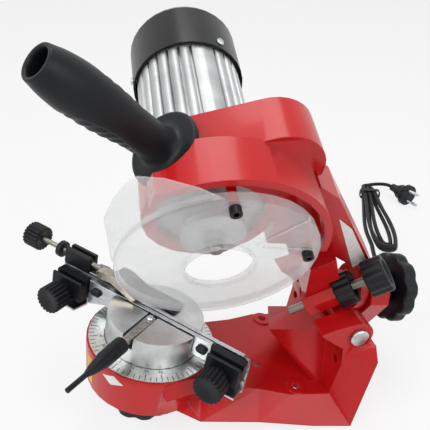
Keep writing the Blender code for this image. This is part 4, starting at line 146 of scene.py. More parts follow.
def skin(name, rings, body, stands_for=(), sharp=40.0):
    """A closed skin over rings (rows, columns, 3), with each end closed by a flat face."""
    rows, columns = rings.shape[:2]
    faces = ring_faces(rows, columns)
    faces.append(list(range(columns))[::-1])
    faces.append(list(range((rows - 1) * columns, rows * columns)))
    return make_piece(name, rings.reshape(-1, 3), faces, body, stands_for, sharp)


def rounded_line(points, cuts=2):
    """A polyline with its corners cut twice at a quarter and three quarters (Chaikin), ends kept."""
    line = np.asarray(points, float)
    for _ in range(cuts):
        near = line[:-1] * 0.75 + line[1:] * 0.25
        far = line[:-1] * 0.25 + line[1:] * 0.75
        inner = np.stack([near, far], axis=1).reshape(-1, line.shape[1])
        line = np.concatenate([line[:1], inner, line[-1:]])
    return line


def revolve(matrix, profile, steps, axis="Z"):
    """Rings of a turned shape: the profile (radius, along) goes round by x = r cos a, y = r sin a."""
    profile = np.asarray(profile, float)
    angle = np.linspace(0, math.tau, steps, endpoint=False)
    radius, along = np.maximum(profile[:, 0], 1e-5)[:, None], profile[:, 1][:, None]
    u, v, w = radius * np.cos(angle), radius * np.sin(angle), along + 0 * angle
    order = {"Z": (u, v, w), "X": (w, u, v), "Y": (v, w, u)}[axis]
    return at(matrix, np.stack(order, axis=-1))


def lobed_knob(matrix, radius, low, high, lobes, depth, edge, dish, axis="Z", steps=12, bore=0.0, well=None):
    """Rings of a moulded knob: r(a, s) = R(s) - depth * w(s) * (0.5 - 0.5 cos(lobes * a))^2, where R(s) runs
    over quarter-ellipse edges and w falls with the radius. Both faces are dished by a cosine. The high face
    may have a round well (its radius and depth). A knob with a bore starts and ends on the bore's wall."""
    quarter = np.linspace(0, math.pi / 2, 6)
    inner = bore + np.linspace(0.0 if bore else 0.02, 1.0, 7) * (radius - edge - bore)
    face = 0.5 + 0.5 * np.cos(math.pi * inner / (radius - edge))
    top_reach, top_along = inner[::-1], (high - dish * face)[::-1]
    if well:
        wide, deep = well
        rim, centre = (radius - edge + wide) / 2, max(bore, POLE)
        top_reach = np.array([radius - edge, rim, wide + 0.6 * MM, wide, wide - 0.2 * MM, wide - 1.0 * MM,
                              (wide + centre) / 2, centre])
        top_along = high - np.array([0, 0, 0.1 * MM, 0.7 * MM, deep - 0.8 * MM, deep, deep, deep])
    reach = np.concatenate([inner, radius - edge + edge * np.sin(quarter[1:]), [radius],
                            radius - edge + edge * np.sin(quarter[::-1][:-1]), top_reach])
    along = np.concatenate([low + dish * face, low + edge - edge * np.cos(quarter[1:]), [(low + high) / 2],
                            high - edge + edge * np.cos(quarter[::-1][:-1]), top_along])
    angle = np.linspace(0, math.tau, lobes * steps, endpoint=False)
    draw = depth * (0.5 - 0.5 * np.cos(lobes * angle)) ** 2
    r = reach[:, None] - ((reach / radius) ** 3)[:, None] * draw[None, :]
    if bore:
        r[0], r[-1] = bore, bore
    u, v, w = r * np.cos(angle), r * np.sin(angle), along[:, None] + 0 * angle
    order = {"Z": (u, v, w), "X": (w, u, v), "Y": (v, w, u)}[axis]
    return at(matrix, np.stack(order, axis=-1))


def tube_along(path, radius, sides=16):
    """Rings of a round tube: at each point of the path, a circle square to the line's direction."""
    path = np.asarray(path, float)
    heading = np.gradient(path, axis=0)
    heading /= np.linalg.norm(heading, axis=1, keepdims=True)
    side = np.cross(heading, (0, 0, 1.0))
    side /= np.linalg.norm(side, axis=1, keepdims=True)
    up = np.cross(side, heading)
    angle = np.linspace(0, math.tau, sides, endpoint=False)
    circle = side[:, None, :] * np.cos(angle)[None, :, None] + up[:, None, :] * np.sin(angle)[None, :, None]
    return path[:, None, :] + circle * np.reshape(radius, (-1, 1, 1))


# Material helpers
def linear(hex_colour):
    """An sRGB hex colour as linear red, green, blue and alpha 1."""
    parts = [int(hex_colour.lstrip("#")[i:i + 2], 16) / 255 for i in (0, 2, 4)]
    return (*[c / 12.92 if c <= 0.04045 else ((c + 0.055) / 1.055) ** 2.4 for c in parts], 1.0)


def cells(size):
    """Cells per metre of a pattern whose cells are this many millimetres across."""
    return 1 / (size * MM)


def add(material, kind, inputs=None, ramp=(), stops=(0.3, 0.7), **settings):
    """Adds a node to a material or world, sets its attributes and the ramp's two hex colours at their stops,
    and sets or links its inputs by name or place."""
    node = material.node_tree.nodes.new(kind)
    for name, value in settings.items():
        setattr(node, name, value)
    for place, (position, colour) in enumerate(zip(stops, ramp)):
        node.color_ramp.elements[place].position = position
        node.color_ramp.elements[place].color = linear(colour)
    for key, value in (inputs or {}).items():
        if isinstance(value, bpy.types.NodeSocket):
            material.node_tree.links.new(value, node.inputs[key])
        else:
            node.inputs[key].default_value = value
    return node


def blank(name):
    """A new material with an empty node tree."""
    material = bpy.data.materials.new(name)
    material.use_nodes = True
    material.node_tree.nodes.clear()
    return material


def close(material, shader, colour):
    """Links the shader to the output, and gives the viewport its colour."""
    add(material, "ShaderNodeOutputMaterial", {"Surface": shader.outputs[0]})
    material.diffuse_color = colour
    return material


# Materials
def red_enamel():
    """Powder coated die-cast aluminium: glossy red with orange peel 1.5 mm across, and round edges."""
    m = blank("red_powder_coat_on_die_casting")
    place = add(m, "ShaderNodeTexCoord").outputs["Object"]
    broad = add(m, "ShaderNodeTexNoise", {"Vector": place, "Scale": cells(71.4), "Detail": 2}).outputs["Fac"]
    peel = add(m, "ShaderNodeTexNoise", {"Vector": place, "Scale": cells(1.54), "Detail": 1}).outputs["Fac"]
    colour = add(m, "ShaderNodeValToRGB", {"Fac": broad}, ramp=(colours().red_shade, colours().red),
                 stops=(0.25, 0.75)).outputs["Color"]
    rough = add(m, "ShaderNodeMapRange", {"Value": broad, "To Min": 0.24, "To Max": 0.34}).outputs["Result"]
    soft = add(m, "ShaderNodeBevel", {"Radius": sizes().casting_edge}, samples=6).outputs["Normal"]
    normal = add(m, "ShaderNodeBump", {
        "Height": peel, "Strength": 0.045, "Distance": 0.6 * MM, "Normal": soft,
    })
    shader = add(m, "ShaderNodeBsdfPrincipled", {
        "Base Color": colour, "Roughness": rough, "Normal": normal.outputs["Normal"],
        "Coat Weight": 0.15, "Coat Roughness": 0.10, "Specular IOR Level": 0.28,
    })
    return close(m, shader, linear(colours().red))


def black_nylon():
    """Moulded glass-filled nylon: near black with a fine 0.6 mm spark-eroded grain and a soft sheen."""
    m = blank("black_moulded_nylon")
    place = add(m, "ShaderNodeTexCoord").outputs["Object"]
    grain = add(m, "ShaderNodeTexNoise", {"Vector": place, "Scale": cells(0.667), "Detail": 2}).outputs["Fac"]
    broad = add(m, "ShaderNodeTexNoise", {"Vector": place, "Scale": cells(28.6), "Detail": 2}).outputs["Fac"]
    colour = add(m, "ShaderNodeValToRGB", {"Fac": broad}, ramp=("#0d0f12", colours().black)).outputs["Color"]
    rough = add(m, "ShaderNodeMapRange", {"Value": broad, "To Min": 0.36, "To Max": 0.48}).outputs["Result"]
    soft = add(m, "ShaderNodeBevel", {"Radius": 0.6 * MM}, samples=6).outputs["Normal"]
    normal = add(m, "ShaderNodeBump", {
        "Height": grain, "Strength": 0.12, "Distance": 0.3 * MM, "Normal": soft,
    })
    shader = add(m, "ShaderNodeBsdfPrincipled", {
        "Base Color": colour, "Roughness": rough, "Normal": normal.outputs["Normal"],
        "Specular IOR Level": 0.25,
    })
    return close(m, shader, linear(colours().black))


def black_gloss_abs():
    """Moulded ABS: the fan cover's smooth black, nearly a mirror at grazing angles, with faint swirls."""
    m = blank("black_polished_abs")
    place = add(m, "ShaderNodeTexCoord").outputs["Object"]
    broad = add(m, "ShaderNodeTexNoise", {"Vector": place, "Scale": cells(16.7), "Detail": 3}).outputs["Fac"]
    colour = add(m, "ShaderNodeValToRGB", {"Fac": broad}, ramp=("#0a0b0d", "#121317")).outputs["Color"]
    rough = add(m, "ShaderNodeMapRange", {"Value": broad, "To Min": 0.24, "To Max": 0.34}).outputs["Result"]
    soft = add(m, "ShaderNodeBevel", {"Radius": 0.8 * MM}, samples=6).outputs["Normal"]
    shader = add(m, "ShaderNodeBsdfPrincipled", {
        "Base Color": colour, "Roughness": rough, "Normal": soft, "Specular IOR Level": 0.3,
    })
    return close(m, shader, linear("#17181c"))


def cast_aluminium():
    """Blasted die-cast aluminium: pale grey metal with a 0.8 mm grain and small colour drift."""
    m = blank("blasted_cast_aluminium")
    place = add(m, "ShaderNodeTexCoord").outputs["Object"]
    grain = add(m, "ShaderNodeTexNoise", {"Vector": place, "Scale": cells(0.8), "Detail": 3}).outputs["Fac"]
    broad = add(m, "ShaderNodeTexNoise", {"Vector": place, "Scale": cells(25), "Detail": 3}).outputs["Fac"]
    colour = add(m, "ShaderNodeValToRGB", {"Fac": broad}, ramp=("#b4b7b7", colours().metal)).outputs["Color"]
    rough = add(m, "ShaderNodeMapRange", {"Value": grain, "To Min": 0.50, "To Max": 0.64}).outputs["Result"]
    soft = add(m, "ShaderNodeBevel", {"Radius": 0.5 * MM}, samples=6).outputs["Normal"]
    normal = add(m, "ShaderNodeBump", {
        "Height": grain, "Strength": 0.18, "Distance": 0.3 * MM, "Normal": soft,
    })
    shader = add(m, "ShaderNodeBsdfPrincipled", {
        "Base Color": colour, "Metallic": 1.0, "Roughness": rough, "Normal": normal.outputs["Normal"],
    })
    return close(m, shader, linear(colours().metal))


def turned_aluminium():
    """Face-turned aluminium: rings about the turntable's axis that stretch the gloss. They lie 1 mm apart,
    wider than the real 0.2 mm feed, so that they show. A wave repeats each tau / 20 of its own scale."""
    m = blank("face_turned_aluminium")
    place = add(m, "ShaderNodeTexCoord").outputs["Object"]
    local = add(m, "ShaderNodeMapping", {
        "Vector": place, "Location": tuple(-MACHINE[:3, 3]),
    }, vector_type="POINT").outputs["Vector"]
    level = add(m, "ShaderNodeVectorRotate", {
        "Vector": local, "Center": (0, 0, 0), "Axis": (1, 0, 0), "Angle": math.radians(LEAN),
    }, rotation_type="AXIS_ANGLE").outputs["Vector"]
    rings = add(m, "ShaderNodeTexWave", {
        "Vector": level, "Scale": math.tau / 20 / (0.98 * MM), "Distortion": 0.6, "Detail": 2.0,
        "Detail Scale": 3.0,
    }, wave_type="RINGS", rings_direction="Z", wave_profile="SIN").outputs["Fac"]
    patch = add(m, "ShaderNodeTexNoise", {"Vector": level, "Scale": cells(18.2), "Detail": 4}).outputs["Fac"]
    colour = add(m, "ShaderNodeValToRGB", {"Fac": patch}, ramp=("#b9bcbc", "#d6d8d7")).outputs["Color"]
    rough = add(m, "ShaderNodeMapRange", {"Value": patch, "To Min": 0.22, "To Max": 0.42}).outputs["Result"]
    soft = add(m, "ShaderNodeBevel", {"Radius": 0.6 * MM}, samples=6).outputs["Normal"]
    normal = add(m, "ShaderNodeBump", {
        "Height": rings, "Strength": 0.10, "Distance": 0.2 * MM, "Normal": soft,
    })
    shader = add(m, "ShaderNodeBsdfPrincipled", {
        "Base Color": colour, "Metallic": 1.0, "Roughness": rough, "Normal": normal.outputs["Normal"],
    })
    return close(m, shader, linear("#c8caca"))


def plated(name, dark, light, low, high, stretch, grain=6.25):
    """Plated steel: a bright metal with cloudy streaks left by rolling. They are this grain in mm across, and
    drawn out by the stretch, so that the gloss breaks up along one axis."""
    m = blank(name)
    place = add(m, "ShaderNodeTexCoord").outputs["Object"]
    drawn = add(m, "ShaderNodeMapping", {"Vector": place, "Scale": stretch}).outputs["Vector"]
    streak = add(m, "ShaderNodeTexNoise", {"Vector": drawn, "Scale": cells(grain), "Detail": 4}).outputs[0]
    colour = add(m, "ShaderNodeValToRGB", {"Fac": streak}, ramp=(dark, light)).outputs["Color"]
    rough = add(m, "ShaderNodeMapRange", {"Value": streak, "To Min": low, "To Max": high}).outputs["Result"]
    soft = add(m, "ShaderNodeBevel", {"Radius": 0.4 * MM}, samples=6).outputs["Normal"]
    normal = add(m, "ShaderNodeBump", {
        "Height": streak, "Strength": 0.05, "Distance": 0.2 * MM, "Normal": soft,
    })
    shader = add(m, "ShaderNodeBsdfPrincipled", {
        "Base Color": colour, "Metallic": 1.0, "Roughness": rough, "Normal": normal.outputs["Normal"],
    })
    return close(m, shader, linear(light))


def black_oxide():
    """Oil-blackened steel: dark brown-black metal, dull in the hollows and worn brighter in patches."""
    m = blank("oil_blackened_steel")
    place = add(m, "ShaderNodeTexCoord").outputs["Object"]
    patch = add(m, "ShaderNodeTexNoise", {"Vector": place, "Scale": cells(4.55), "Detail": 5}).outputs["Fac"]
    colour = add(m, "ShaderNodeValToRGB", {"Fac": patch}, ramp=("#1b1b1d", "#38393c")).outputs["Color"]
    rough = add(m, "ShaderNodeMapRange", {"Value": patch, "To Min": 0.30, "To Max": 0.48}).outputs["Result"]
    soft = add(m, "ShaderNodeBevel", {"Radius": 0.4 * MM}, samples=6).outputs["Normal"]
    shader = add(m, "ShaderNodeBsdfPrincipled", {
        "Base Color": colour, "Metallic": 0.85, "Roughness": rough, "Normal": soft,
    })
    return close(m, shader, linear("#2a2b2d"))


def clear_guard():
    """Clear moulded polycarbonate: see-through where it faces the eye and milky white towards its edges."""
    m = blank("clear_moulded_polycarbonate")
    place = add(m, "ShaderNodeTexCoord").outputs["Object"]
    ripple = add(m, "ShaderNodeTexNoise", {"Vector": place, "Scale": cells(22.2), "Detail": 2}).outputs["Fac"]
    grazing = add(m, "ShaderNodeLayerWeight", {"Blend": 0.30}).outputs["Facing"]
    alpha = add(m, "ShaderNodeMapRange", {"Value": grazing, "To Min": 0.12, "To Max": 0.80}).outputs["Result"]
    soft = add(m, "ShaderNodeBevel", {"Radius": 0.6 * MM}, samples=6).outputs["Normal"]
    normal = add(m, "ShaderNodeBump", {
        "Height": ripple, "Strength": 0.05, "Distance": 2 * MM, "Normal": soft,
    })
    colour = add(m, "ShaderNodeValToRGB", {"Fac": ripple}, ramp=("#e4e9ea", "#f3f6f6")).outputs["Color"]
    shader = add(m, "ShaderNodeBsdfPrincipled", {
        "Base Color": colour, "Alpha": alpha, "IOR": 1.58,
        "Roughness": 0.07, "Normal": normal.outputs["Normal"], "Specular IOR Level": 0.7,
    })
    m.surface_render_method = "BLENDED"
    return close(m, shader, (0.9, 0.93, 0.92, 0.3))


def threaded_steel(axis, origin, pitch):
    """Rolled thread: bright steel whose crests follow waves one pitch apart along the rod's own axis, with
    painted shade that darkens the colour down into each root.
    """
    m = blank("rolled_steel_thread")
    place = add(m, "ShaderNodeTexCoord").outputs["Object"]
    direction = np.asarray(axis, float)
    away = add(m, "ShaderNodeVectorMath", {0: place, 1: tuple(origin)}, operation="SUBTRACT")
    along = add(m, "ShaderNodeVectorMath", {
        0: away.outputs["Vector"], 1: tuple(direction / pitch)}, operation="DOT_PRODUCT")
    tooth = add(m, "ShaderNodeMath", {0: along.outputs["Value"], 1: 0.5}, operation="PINGPONG").outputs[0]
    # painted shade: the colour runs from dark grey in the thread's roots to bright steel on its crests
    colour = add(m, "ShaderNodeValToRGB", {"Fac": tooth}, ramp=("#55544f", "#b4b0a6"),
                 stops=(0.08, 0.42)).outputs["Color"]
    normal = add(m, "ShaderNodeBump", {"Height": tooth, "Strength": 0.8, "Distance": pitch / 3})
    shader = add(m, "ShaderNodeBsdfPrincipled", {
        "Base Color": colour, "Metallic": 1.0, "Roughness": 0.36, "Normal": normal.outputs["Normal"],
    })
    return close(m, shader, linear("#8f8c84"))


def laminations():
    """Stacked electrical steel: dark grey sheets of 0.5 mm, too fine to show, so a line stands for four."""
    m = blank("stacked_steel_laminations")
    place = add(m, "ShaderNodeTexCoord").outputs["Object"]
    axis = HEAD[:3, 0] / MM
    level = add(m, "ShaderNodeVectorMath", {0: place, 1: tuple(axis)}, operation="DOT_PRODUCT")
    line = add(m, "ShaderNodeMath", {0: level.outputs["Value"], 1: 1.0}, operation="PINGPONG").outputs[0]
    colour = add(m, "ShaderNodeValToRGB", {"Fac": line}, ramp=("#3d3c3a", "#6d6a66")).outputs["Color"]
    shader = add(m, "ShaderNodeBsdfPrincipled", {"Base Color": colour, "Metallic": 0.9, "Roughness": 0.5})
    return close(m, shader, linear("#55534f"))


def cable_rubber():
    """Extruded PVC: a dull black sheath with slight waves where it was coiled warm."""
    m = blank("extruded_black_pvc")
    place = add(m, "ShaderNodeTexCoord").outputs["Object"]
    wave = add(m, "ShaderNodeTexNoise", {"Vector": place, "Scale": cells(11.1), "Detail": 2}).outputs["Fac"]
    colour = add(m, "ShaderNodeValToRGB", {"Fac": wave}, ramp=("#131416", "#212226")).outputs["Color"]
    rough = add(m, "ShaderNodeMapRange", {"Value": wave, "To Min": 0.42, "To Max": 0.55}).outputs["Result"]
    normal = add(m, "ShaderNodeBump", {"Height": wave, "Strength": 0.1, "Distance": 0.6 * MM})
    shader = add(m, "ShaderNodeBsdfPrincipled", {
        "Base Color": colour, "Roughness": rough, "Normal": normal.outputs["Normal"],
        "Specular IOR Level": 0.25,
    })
    return close(m, shader, linear("#1a1b1e"))


def printed(name, dark, light):
    """Print or a bare sticker: an even coat with a faint mottle from the paper or plate under it."""
    m = blank(name)
    place = add(m, "ShaderNodeTexCoord").outputs["Object"]
    mottle = add(m, "ShaderNodeTexNoise", {"Vector": place, "Scale": cells(3.33), "Detail": 2}).outputs["Fac"]
    colour = add(m, "ShaderNodeValToRGB", {"Fac": mottle}, ramp=(dark, light)).outputs["Color"]
    shader = add(m, "ShaderNodeBsdfPrincipled", {"Base Color": colour, "Roughness": 0.42})
    return close(m, shader, linear(light))


LOOKS = {}


def look(name):
    """Each material is made once, the first time that a piece asks for it."""
    makers = {
        "red": red_enamel,
        "nylon": black_nylon,
        "abs": black_gloss_abs,
        "aluminium": cast_aluminium,
        "turned": turned_aluminium,
        "zinc": lambda: plated(
            "zinc_plated_sheet_steel", "#a9aeb2", "#d5d8da", 0.20, 0.38, (0.3, 0.3, 1.6)),
        "steel": lambda: plated("drawn_steel", "#8e8c87", "#bfbcb5", 0.26, 0.42, (1.0, 1.0, 1.0), 2.5),
        "nickel": lambda: plated(
            "nickel_plated_spring_steel", "#8d867b", "#c0b8aa", 0.22, 0.40, (0.5, 1.4, 0.5)),
        "oxide": black_oxide,
        "clear": clear_guard,
        "scale": lambda: plated(
            "anodised_scale_plate", "#b9bbba", "#d9dad8", 0.30, 0.40, (1.0, 1.0, 1.0), 2.0),
        "laminations": laminations,
        "rubber": cable_rubber,
        "white": lambda: printed("bare_white_label", "#e6e7e6", "#f2f2f0"),
        "yellow": lambda: printed("bare_yellow_label", "#d8a41c", "#e6b52a"),
        "black_print": lambda: printed("black_print", "#1b1b1b", "#2a2a2a"),
    }
    if name not in LOOKS:
        LOOKS[name] = makers[name]()
    return LOOKS[name]


def wear(piece, name):
    """Gives a piece one material."""
    material = look(name) if isinstance(name, str) else name
    piece.data.materials.clear()
    piece.data.materials.append(material)
    piece.data.polygons.foreach_set("material_index", [0] * len(piece.data.polygons))
    return piece


def dress_copies(nodes, body, name, sharp=32.0):
    """Smooth copies of CAD solids, all in one material."""
    return [wear(finished_copy(node, body, sharp), name) for node in nodes]


# Settings
class SharpenerSizes(bpy.types.PropertyGroup):
    """Sizes of the dressed pieces that a user may want to change"""

    casting_edge: FloatProperty(
        name="Casting edge", description="Rounding of the castings' edges", default=1.1 * MM, unit="LENGTH")
    cord_diameter: FloatProperty(
        name="Lead diameter", description="Outside diameter of the mains lead", default=0.006, unit="LENGTH")
    knob_lobes: IntProperty(
        name="Knob lobes", description="Grip lobes round each large knob", default=10, min=5, max=24)
    rib_count: IntProperty(
        name="End knob ribs", description="Ribs round each small end knob", default=20, min=8, max=40)
    grip_grooves: IntProperty(
        name="Grip grooves", description="Curved grooves in each panel of the grip", default=8, min=3, max=14)
    thread_pitch: FloatProperty(
        name="Thread pitch", description="Pitch of the depth rod's thread", default=0.0015, unit="LENGTH")


class SharpenerColours(bpy.types.PropertyGroup):
    """Main colours of the dressed pieces, as sRGB hex"""

    red: StringProperty(
        name="Casting red", description="Powder coat on the castings where it is lit", default="#cb1518")
    red_shade: StringProperty(
        name="Casting red, thick", description="Powder coat where it lies thicker", default="#b91216")
    black: StringProperty(
        name="Nylon black", description="Handle, knobs and blocks", default="#15181c")
    metal: StringProperty(
        name="Motor metal", description="Blasted aluminium of the motor", default="#c9cbcb")
    floor: StringProperty(
        name="Floor", description="The pale floor under the machine", default="#f0f0f0")


def sizes():
    return bpy.context.scene.sharpener_sizes


def colours():
    return bpy.context.scene.sharpener_colours


# Mains lead
CORD_RADIUS = 0.003
CORD_REST = 0.0032
HANK_PLACE = (-0.168, 0.376)
HANK_TURN = 159.7
HANK_LENGTH, HANK_TIE, HANK_OPEN = 0.215, 0.180, 0.040
HANK_TURNS, HANK_START, HANK_END, HANK_POINTS = 2, 0.13, 3.5, 82
HANK_STEP_IN = 0.0105  # each inner turn's end falls short by this
HANK_CORE = (0.0006, 0.0095)  # half the room inside the innermost turn, at the tie and in the open oval
HANK_STEP = (0.0086, 0.0088)  # from turn to turn, at the tie and in the open oval
HANK_CLIMB = 0.0068  # the outgoing turns lie this far above the others
TIE_LIFT, TIE_REACH = 0.0016, 0.022
HANK = STAND @ move(*HANK_PLACE, 0) @ turn("Z", HANK_TURN)
HANK_TAIL = ((0.2105, -0.013, 0.0125), (0.2030, -0.0265, 0.0165))
PLUG_PLACE = (0.191, -0.0375, 0.0178)
PLUG_TURN = 214.2
PLUG_PINS = 0.0381  # along the plug, where its body ends and the pins start
JOINT_GAP = 0.0003
LEAD_SIDES = 14
CORD_ROUTE = ((-0.050, 0.252), (-0.074, 0.292), (-0.112, 0.327))
GLAND_SIDE, GLAND_HEIGHT, GLAND_END = -0.044, 0.011, 0.2078


def hank_line(turns):
    """The wound lead at these turns: an oval that steps in below and out above, drawn in at the tie."""
    inward = np.where(turns < HANK_TURNS, turns, HANK_TURNS * 2 - turns)
    angle = math.tau * turns
    near, far = inward * HANK_STEP_IN, HANK_LENGTH - inward * HANK_STEP_IN
    along = (near + far) / 2 - (far - near) / 2 * np.cos(angle)
    before = 0.5 + 0.5 * np.cos(math.pi * np.clip((along - HANK_OPEN) / (HANK_TIE - HANK_OPEN), 0, 1))
    after = 0.5 * (0.5 - 0.5 * np.cos(math.pi * (along - HANK_TIE) / (HANK_LENGTH - HANK_TIE)))
    spread = np.where(along < HANK_TIE, before, after)
    core = HANK_CORE[0] + (HANK_CORE[1] - HANK_CORE[0]) * spread
    step = HANK_STEP[0] + (HANK_STEP[1] - HANK_STEP[0]) * spread
    reach = core + (HANK_TURNS - inward) * step
    side = np.sign(np.sin(angle)) * np.abs(np.sin(angle)) ** 0.5
    climbed = np.clip((turns - HANK_TURNS) * 2 + 0.5, 0, 1)
    climb = climbed * climbed * (3 - 2 * climbed)
    lift = TIE_LIFT * np.exp(-(((along - HANK_TIE) / TIE_REACH) ** 2))
    return np.stack([along, side * reach, CORD_REST + HANK_CLIMB * climb + lift], axis=-1)


def even_curve(points, spacing):
    """A cubic Hermite line through the points at even steps, pulled along each point's two-step chord."""
    points = np.asarray(points, float)
    ends = np.concatenate([[points[0] * 2 - points[1]], points, [points[-1] * 2 - points[-2]]])
    before, start, end, after = ends[:-3], ends[1:-2], ends[2:-1], ends[3:]
    chord = np.linalg.norm(end - start, axis=1, keepdims=True)
    leave = end - before
    reach = after - start
    leave *= chord / 2 / np.linalg.norm(leave, axis=1, keepdims=True)
    reach *= chord / 2 / np.linalg.norm(reach, axis=1, keepdims=True)
    t = (np.arange(32) / 32)[None, :, None]
    fine = (start[:, None] * (2 * t ** 3 - 3 * t * t + 1) + leave[:, None] * (t ** 3 - 2 * t * t + t) * 2
            + end[:, None] * (3 * t * t - 2 * t ** 3) + reach[:, None] * (t ** 3 - t * t) * 2)
    fine = np.concatenate([fine.reshape(-1, 3), points[-1:]])
    walked = np.concatenate([[0], np.cumsum(np.linalg.norm(np.diff(fine, axis=0), axis=1))])
    marks = np.linspace(0, walked[-1], max(2, round(walked[-1] / spacing)) + 1)
    return np.stack([np.interp(marks, walked, fine[:, k]) for k in range(3)], axis=-1)


def lead_line():
    """The whole lead's centre line: out of the gland, along the table and round the hank to the plug."""
    loops = hank_line(np.linspace(HANK_START, HANK_END, HANK_POINTS))
    ahead = (loops[0] - loops[1]) / np.linalg.norm(loops[0] - loops[1])
    entry = loops[0] + ahead * CORD_RADIUS * 2
    axis = np.array([math.cos(math.radians(PLUG_TURN)), math.sin(math.radians(PLUG_TURN)), 0])
    plug_rear = np.array(PLUG_PLACE) - axis * JOINT_GAP
    tail = [loops[-2], loops[-1], *HANK_TAIL, plug_rear - axis * CORD_RADIUS * 2, plug_rear]
    tail = even_curve(tail, CORD_RADIUS * 3)
    leaving = at(np.linalg.inv(STAND) @ MACHINE, [
        (GLAND_SIDE, reach, GLAND_HEIGHT) for reach in (0.190, GLAND_END, GLAND_END + CORD_RADIUS * 2)])
    to_stand = move(*HANK_PLACE, 0) @ turn("Z", HANK_TURN)
    meeting = at(to_stand, [entry + ahead * (CORD_RADIUS * 2 + JOINT_GAP), entry + ahead * JOINT_GAP])
    route = [(x, y, CORD_REST) for x, y in CORD_ROUTE]
    free = even_curve([*leaving, *route, *meeting], CORD_RADIUS * 2)
    wound = np.concatenate([[entry], loops[:-2], tail])
    line = np.concatenate([at(STAND, free[:-1]), at(HANK, wound)])
    return even_curve(line, CORD_RADIUS * 1.2)


class SHARPENER_OT_lead(bpy.types.Operator):
    """Make the mains lead, its gland, tie and plug"""

    bl_idname = "sharpener.lead"
    bl_label = "Mains lead"

    def execute(self, context):
        """The lead is one tube of constant radius along its whole centre line."""
        line = lead_line()
        start = at(MACHINE, [(GLAND_SIDE, GLAND_END, GLAND_HEIGHT)])[0]
        line = line[np.argmin(np.linalg.norm(line[:20] - start, axis=1)):]
        rings = tube_along(line, sizes().cord_diameter / 2, LEAD_SIDES)
        lead = skin("mains_lead", rings, "base", ("cord", "cord_hank"), 60.0)
        wear(lead, "rubber")
        gland = dress_copies(["cord_gland"], "base", "rubber")[0]
        tie = dress_copies(["cord_tie"], "base", "nylon")[0]
        plug = dress_copies(["plug"], "base", "nylon", 40.0)[0]
        plug.data.materials.append(look("zinc"))
        to_plug = np.linalg.inv(HANK @ move(*PLUG_PLACE) @ turn("Z", PLUG_TURN))
        centres = np.array([p.center for p in plug.data.polygons])
        pins = at(to_plug, centres)[:, 0] > PLUG_PINS
        plug.data.polygons.foreach_set("material_index", pins.astype(int).tolist())
        return {"FINISHED"}


# Castings and motor
class SHARPENER_OT_castings(bpy.types.Operator):
    """Make the red base, swing bracket and head castings"""

    bl_idname = "sharpener.castings"
    bl_label = "Castings"

    def execute(self, context):
        dress_copies(["base_casting"], "base", "red", 32.0)
        dress_copies(["swing_bracket"], "swing", "red", 20.0)
        dress_copies(["head_casting"], "head", "red", 20.0)
        return {"FINISHED"}


class SHARPENER_OT_motor(bpy.types.Operator):
    """Make the motor: finned body, shields, fan cover and the works inside"""

    bl_idname = "sharpener.motor"
    bl_label = "Motor"

    def execute(self, context):
        dress_copies(["motor_body", "front_shield", "rear_shield"], "head", "aluminium")
        dress_copies(["wheel_flange"], "rotor", "aluminium")
        dress_copies(["fan_cover"], "head", "abs", 40.0)
        dress_copies(["cooling_fan"], "rotor", "nylon")
        dress_copies(["stator_core"], "head", "laminations")
        dress_copies(["rotor_core"], "rotor", "laminations")
        dress_copies(["front_bearing", "rear_bearing"], "head", "steel")
        dress_copies(["spindle", "spindle_nut"], "rotor", "steel")
        dress_copies(["cover_screw_1", "cover_screw_2"], "head", "zinc")
        dress_copies(["rocker_switch"], "rocker", "abs")
        return {"FINISHED"}


class SHARPENER_OT_guard(bpy.types.Operator):
    """Make the clear wheel guard and its two screws"""

    bl_idname = "sharpener.guard"
    bl_label = "Wheel guard"

    def execute(self, context):
        dress_copies(["wheel_guard"], "head", "clear", 30.0)
        dress_copies(["guard_screw_upper", "guard_screw_rear"], "head", "oxide")
        return {"FINISHED"}


# Handle
GRIP_SEAT = 0.0003  # the flange stands this far off its seat
GRIP_FLANGE, GRIP_BAR = 0.013, 0.107  # heights of the flange and of the bar on it
GRIP_RIM = 0.030  # the flange's radius
GRIP_HOLLOW = 0.030  # depth of the hollow in the bar's end
LEAF_START, LEAF_SHORT = 0.012, 0.034  # where a leaf starts on the bar, and how much shorter it is
LEAF_WIDTH, LEAF_EDGE = 0.78, 0.10  # half of its widest angle, and the angle of its rim's slope, in radians
LEAF_DEPTH, WAVE_DEPTH, CHEVRON = 0.0004, 0.0007, 0.012
FLANGE_SHAPE = (  # shares of the rim, and heights above the seat
    (0.60, 0.0), (0.92, 0.0016), (1.0, 0.0050), (1.0, 0.0078), (0.94, 0.0098), (0.80, 0.0094),
    (0.617, 0.0102))
BAR_SHAPE = (  # radii, and heights above the flange
    (0.0150, 0.0), (0.0141, 0.010), (0.0150, 0.026), (0.0170, 0.045), (0.0180, 0.061), (0.0177, 0.080),
    (0.0158, 0.095), (0.0134, 0.1035), (0.0127, 0.1067), (0.0112, 0.1070))
HOLLOW_SHAPE = (  # radii, and depths below the bar's end
    (0.0096, 0.0008), (0.0093, 0.006), (0.0086, GRIP_HOLLOW - 1 * MM), (0.0078, GRIP_HOLLOW),
    (POLE, GRIP_HOLLOW))


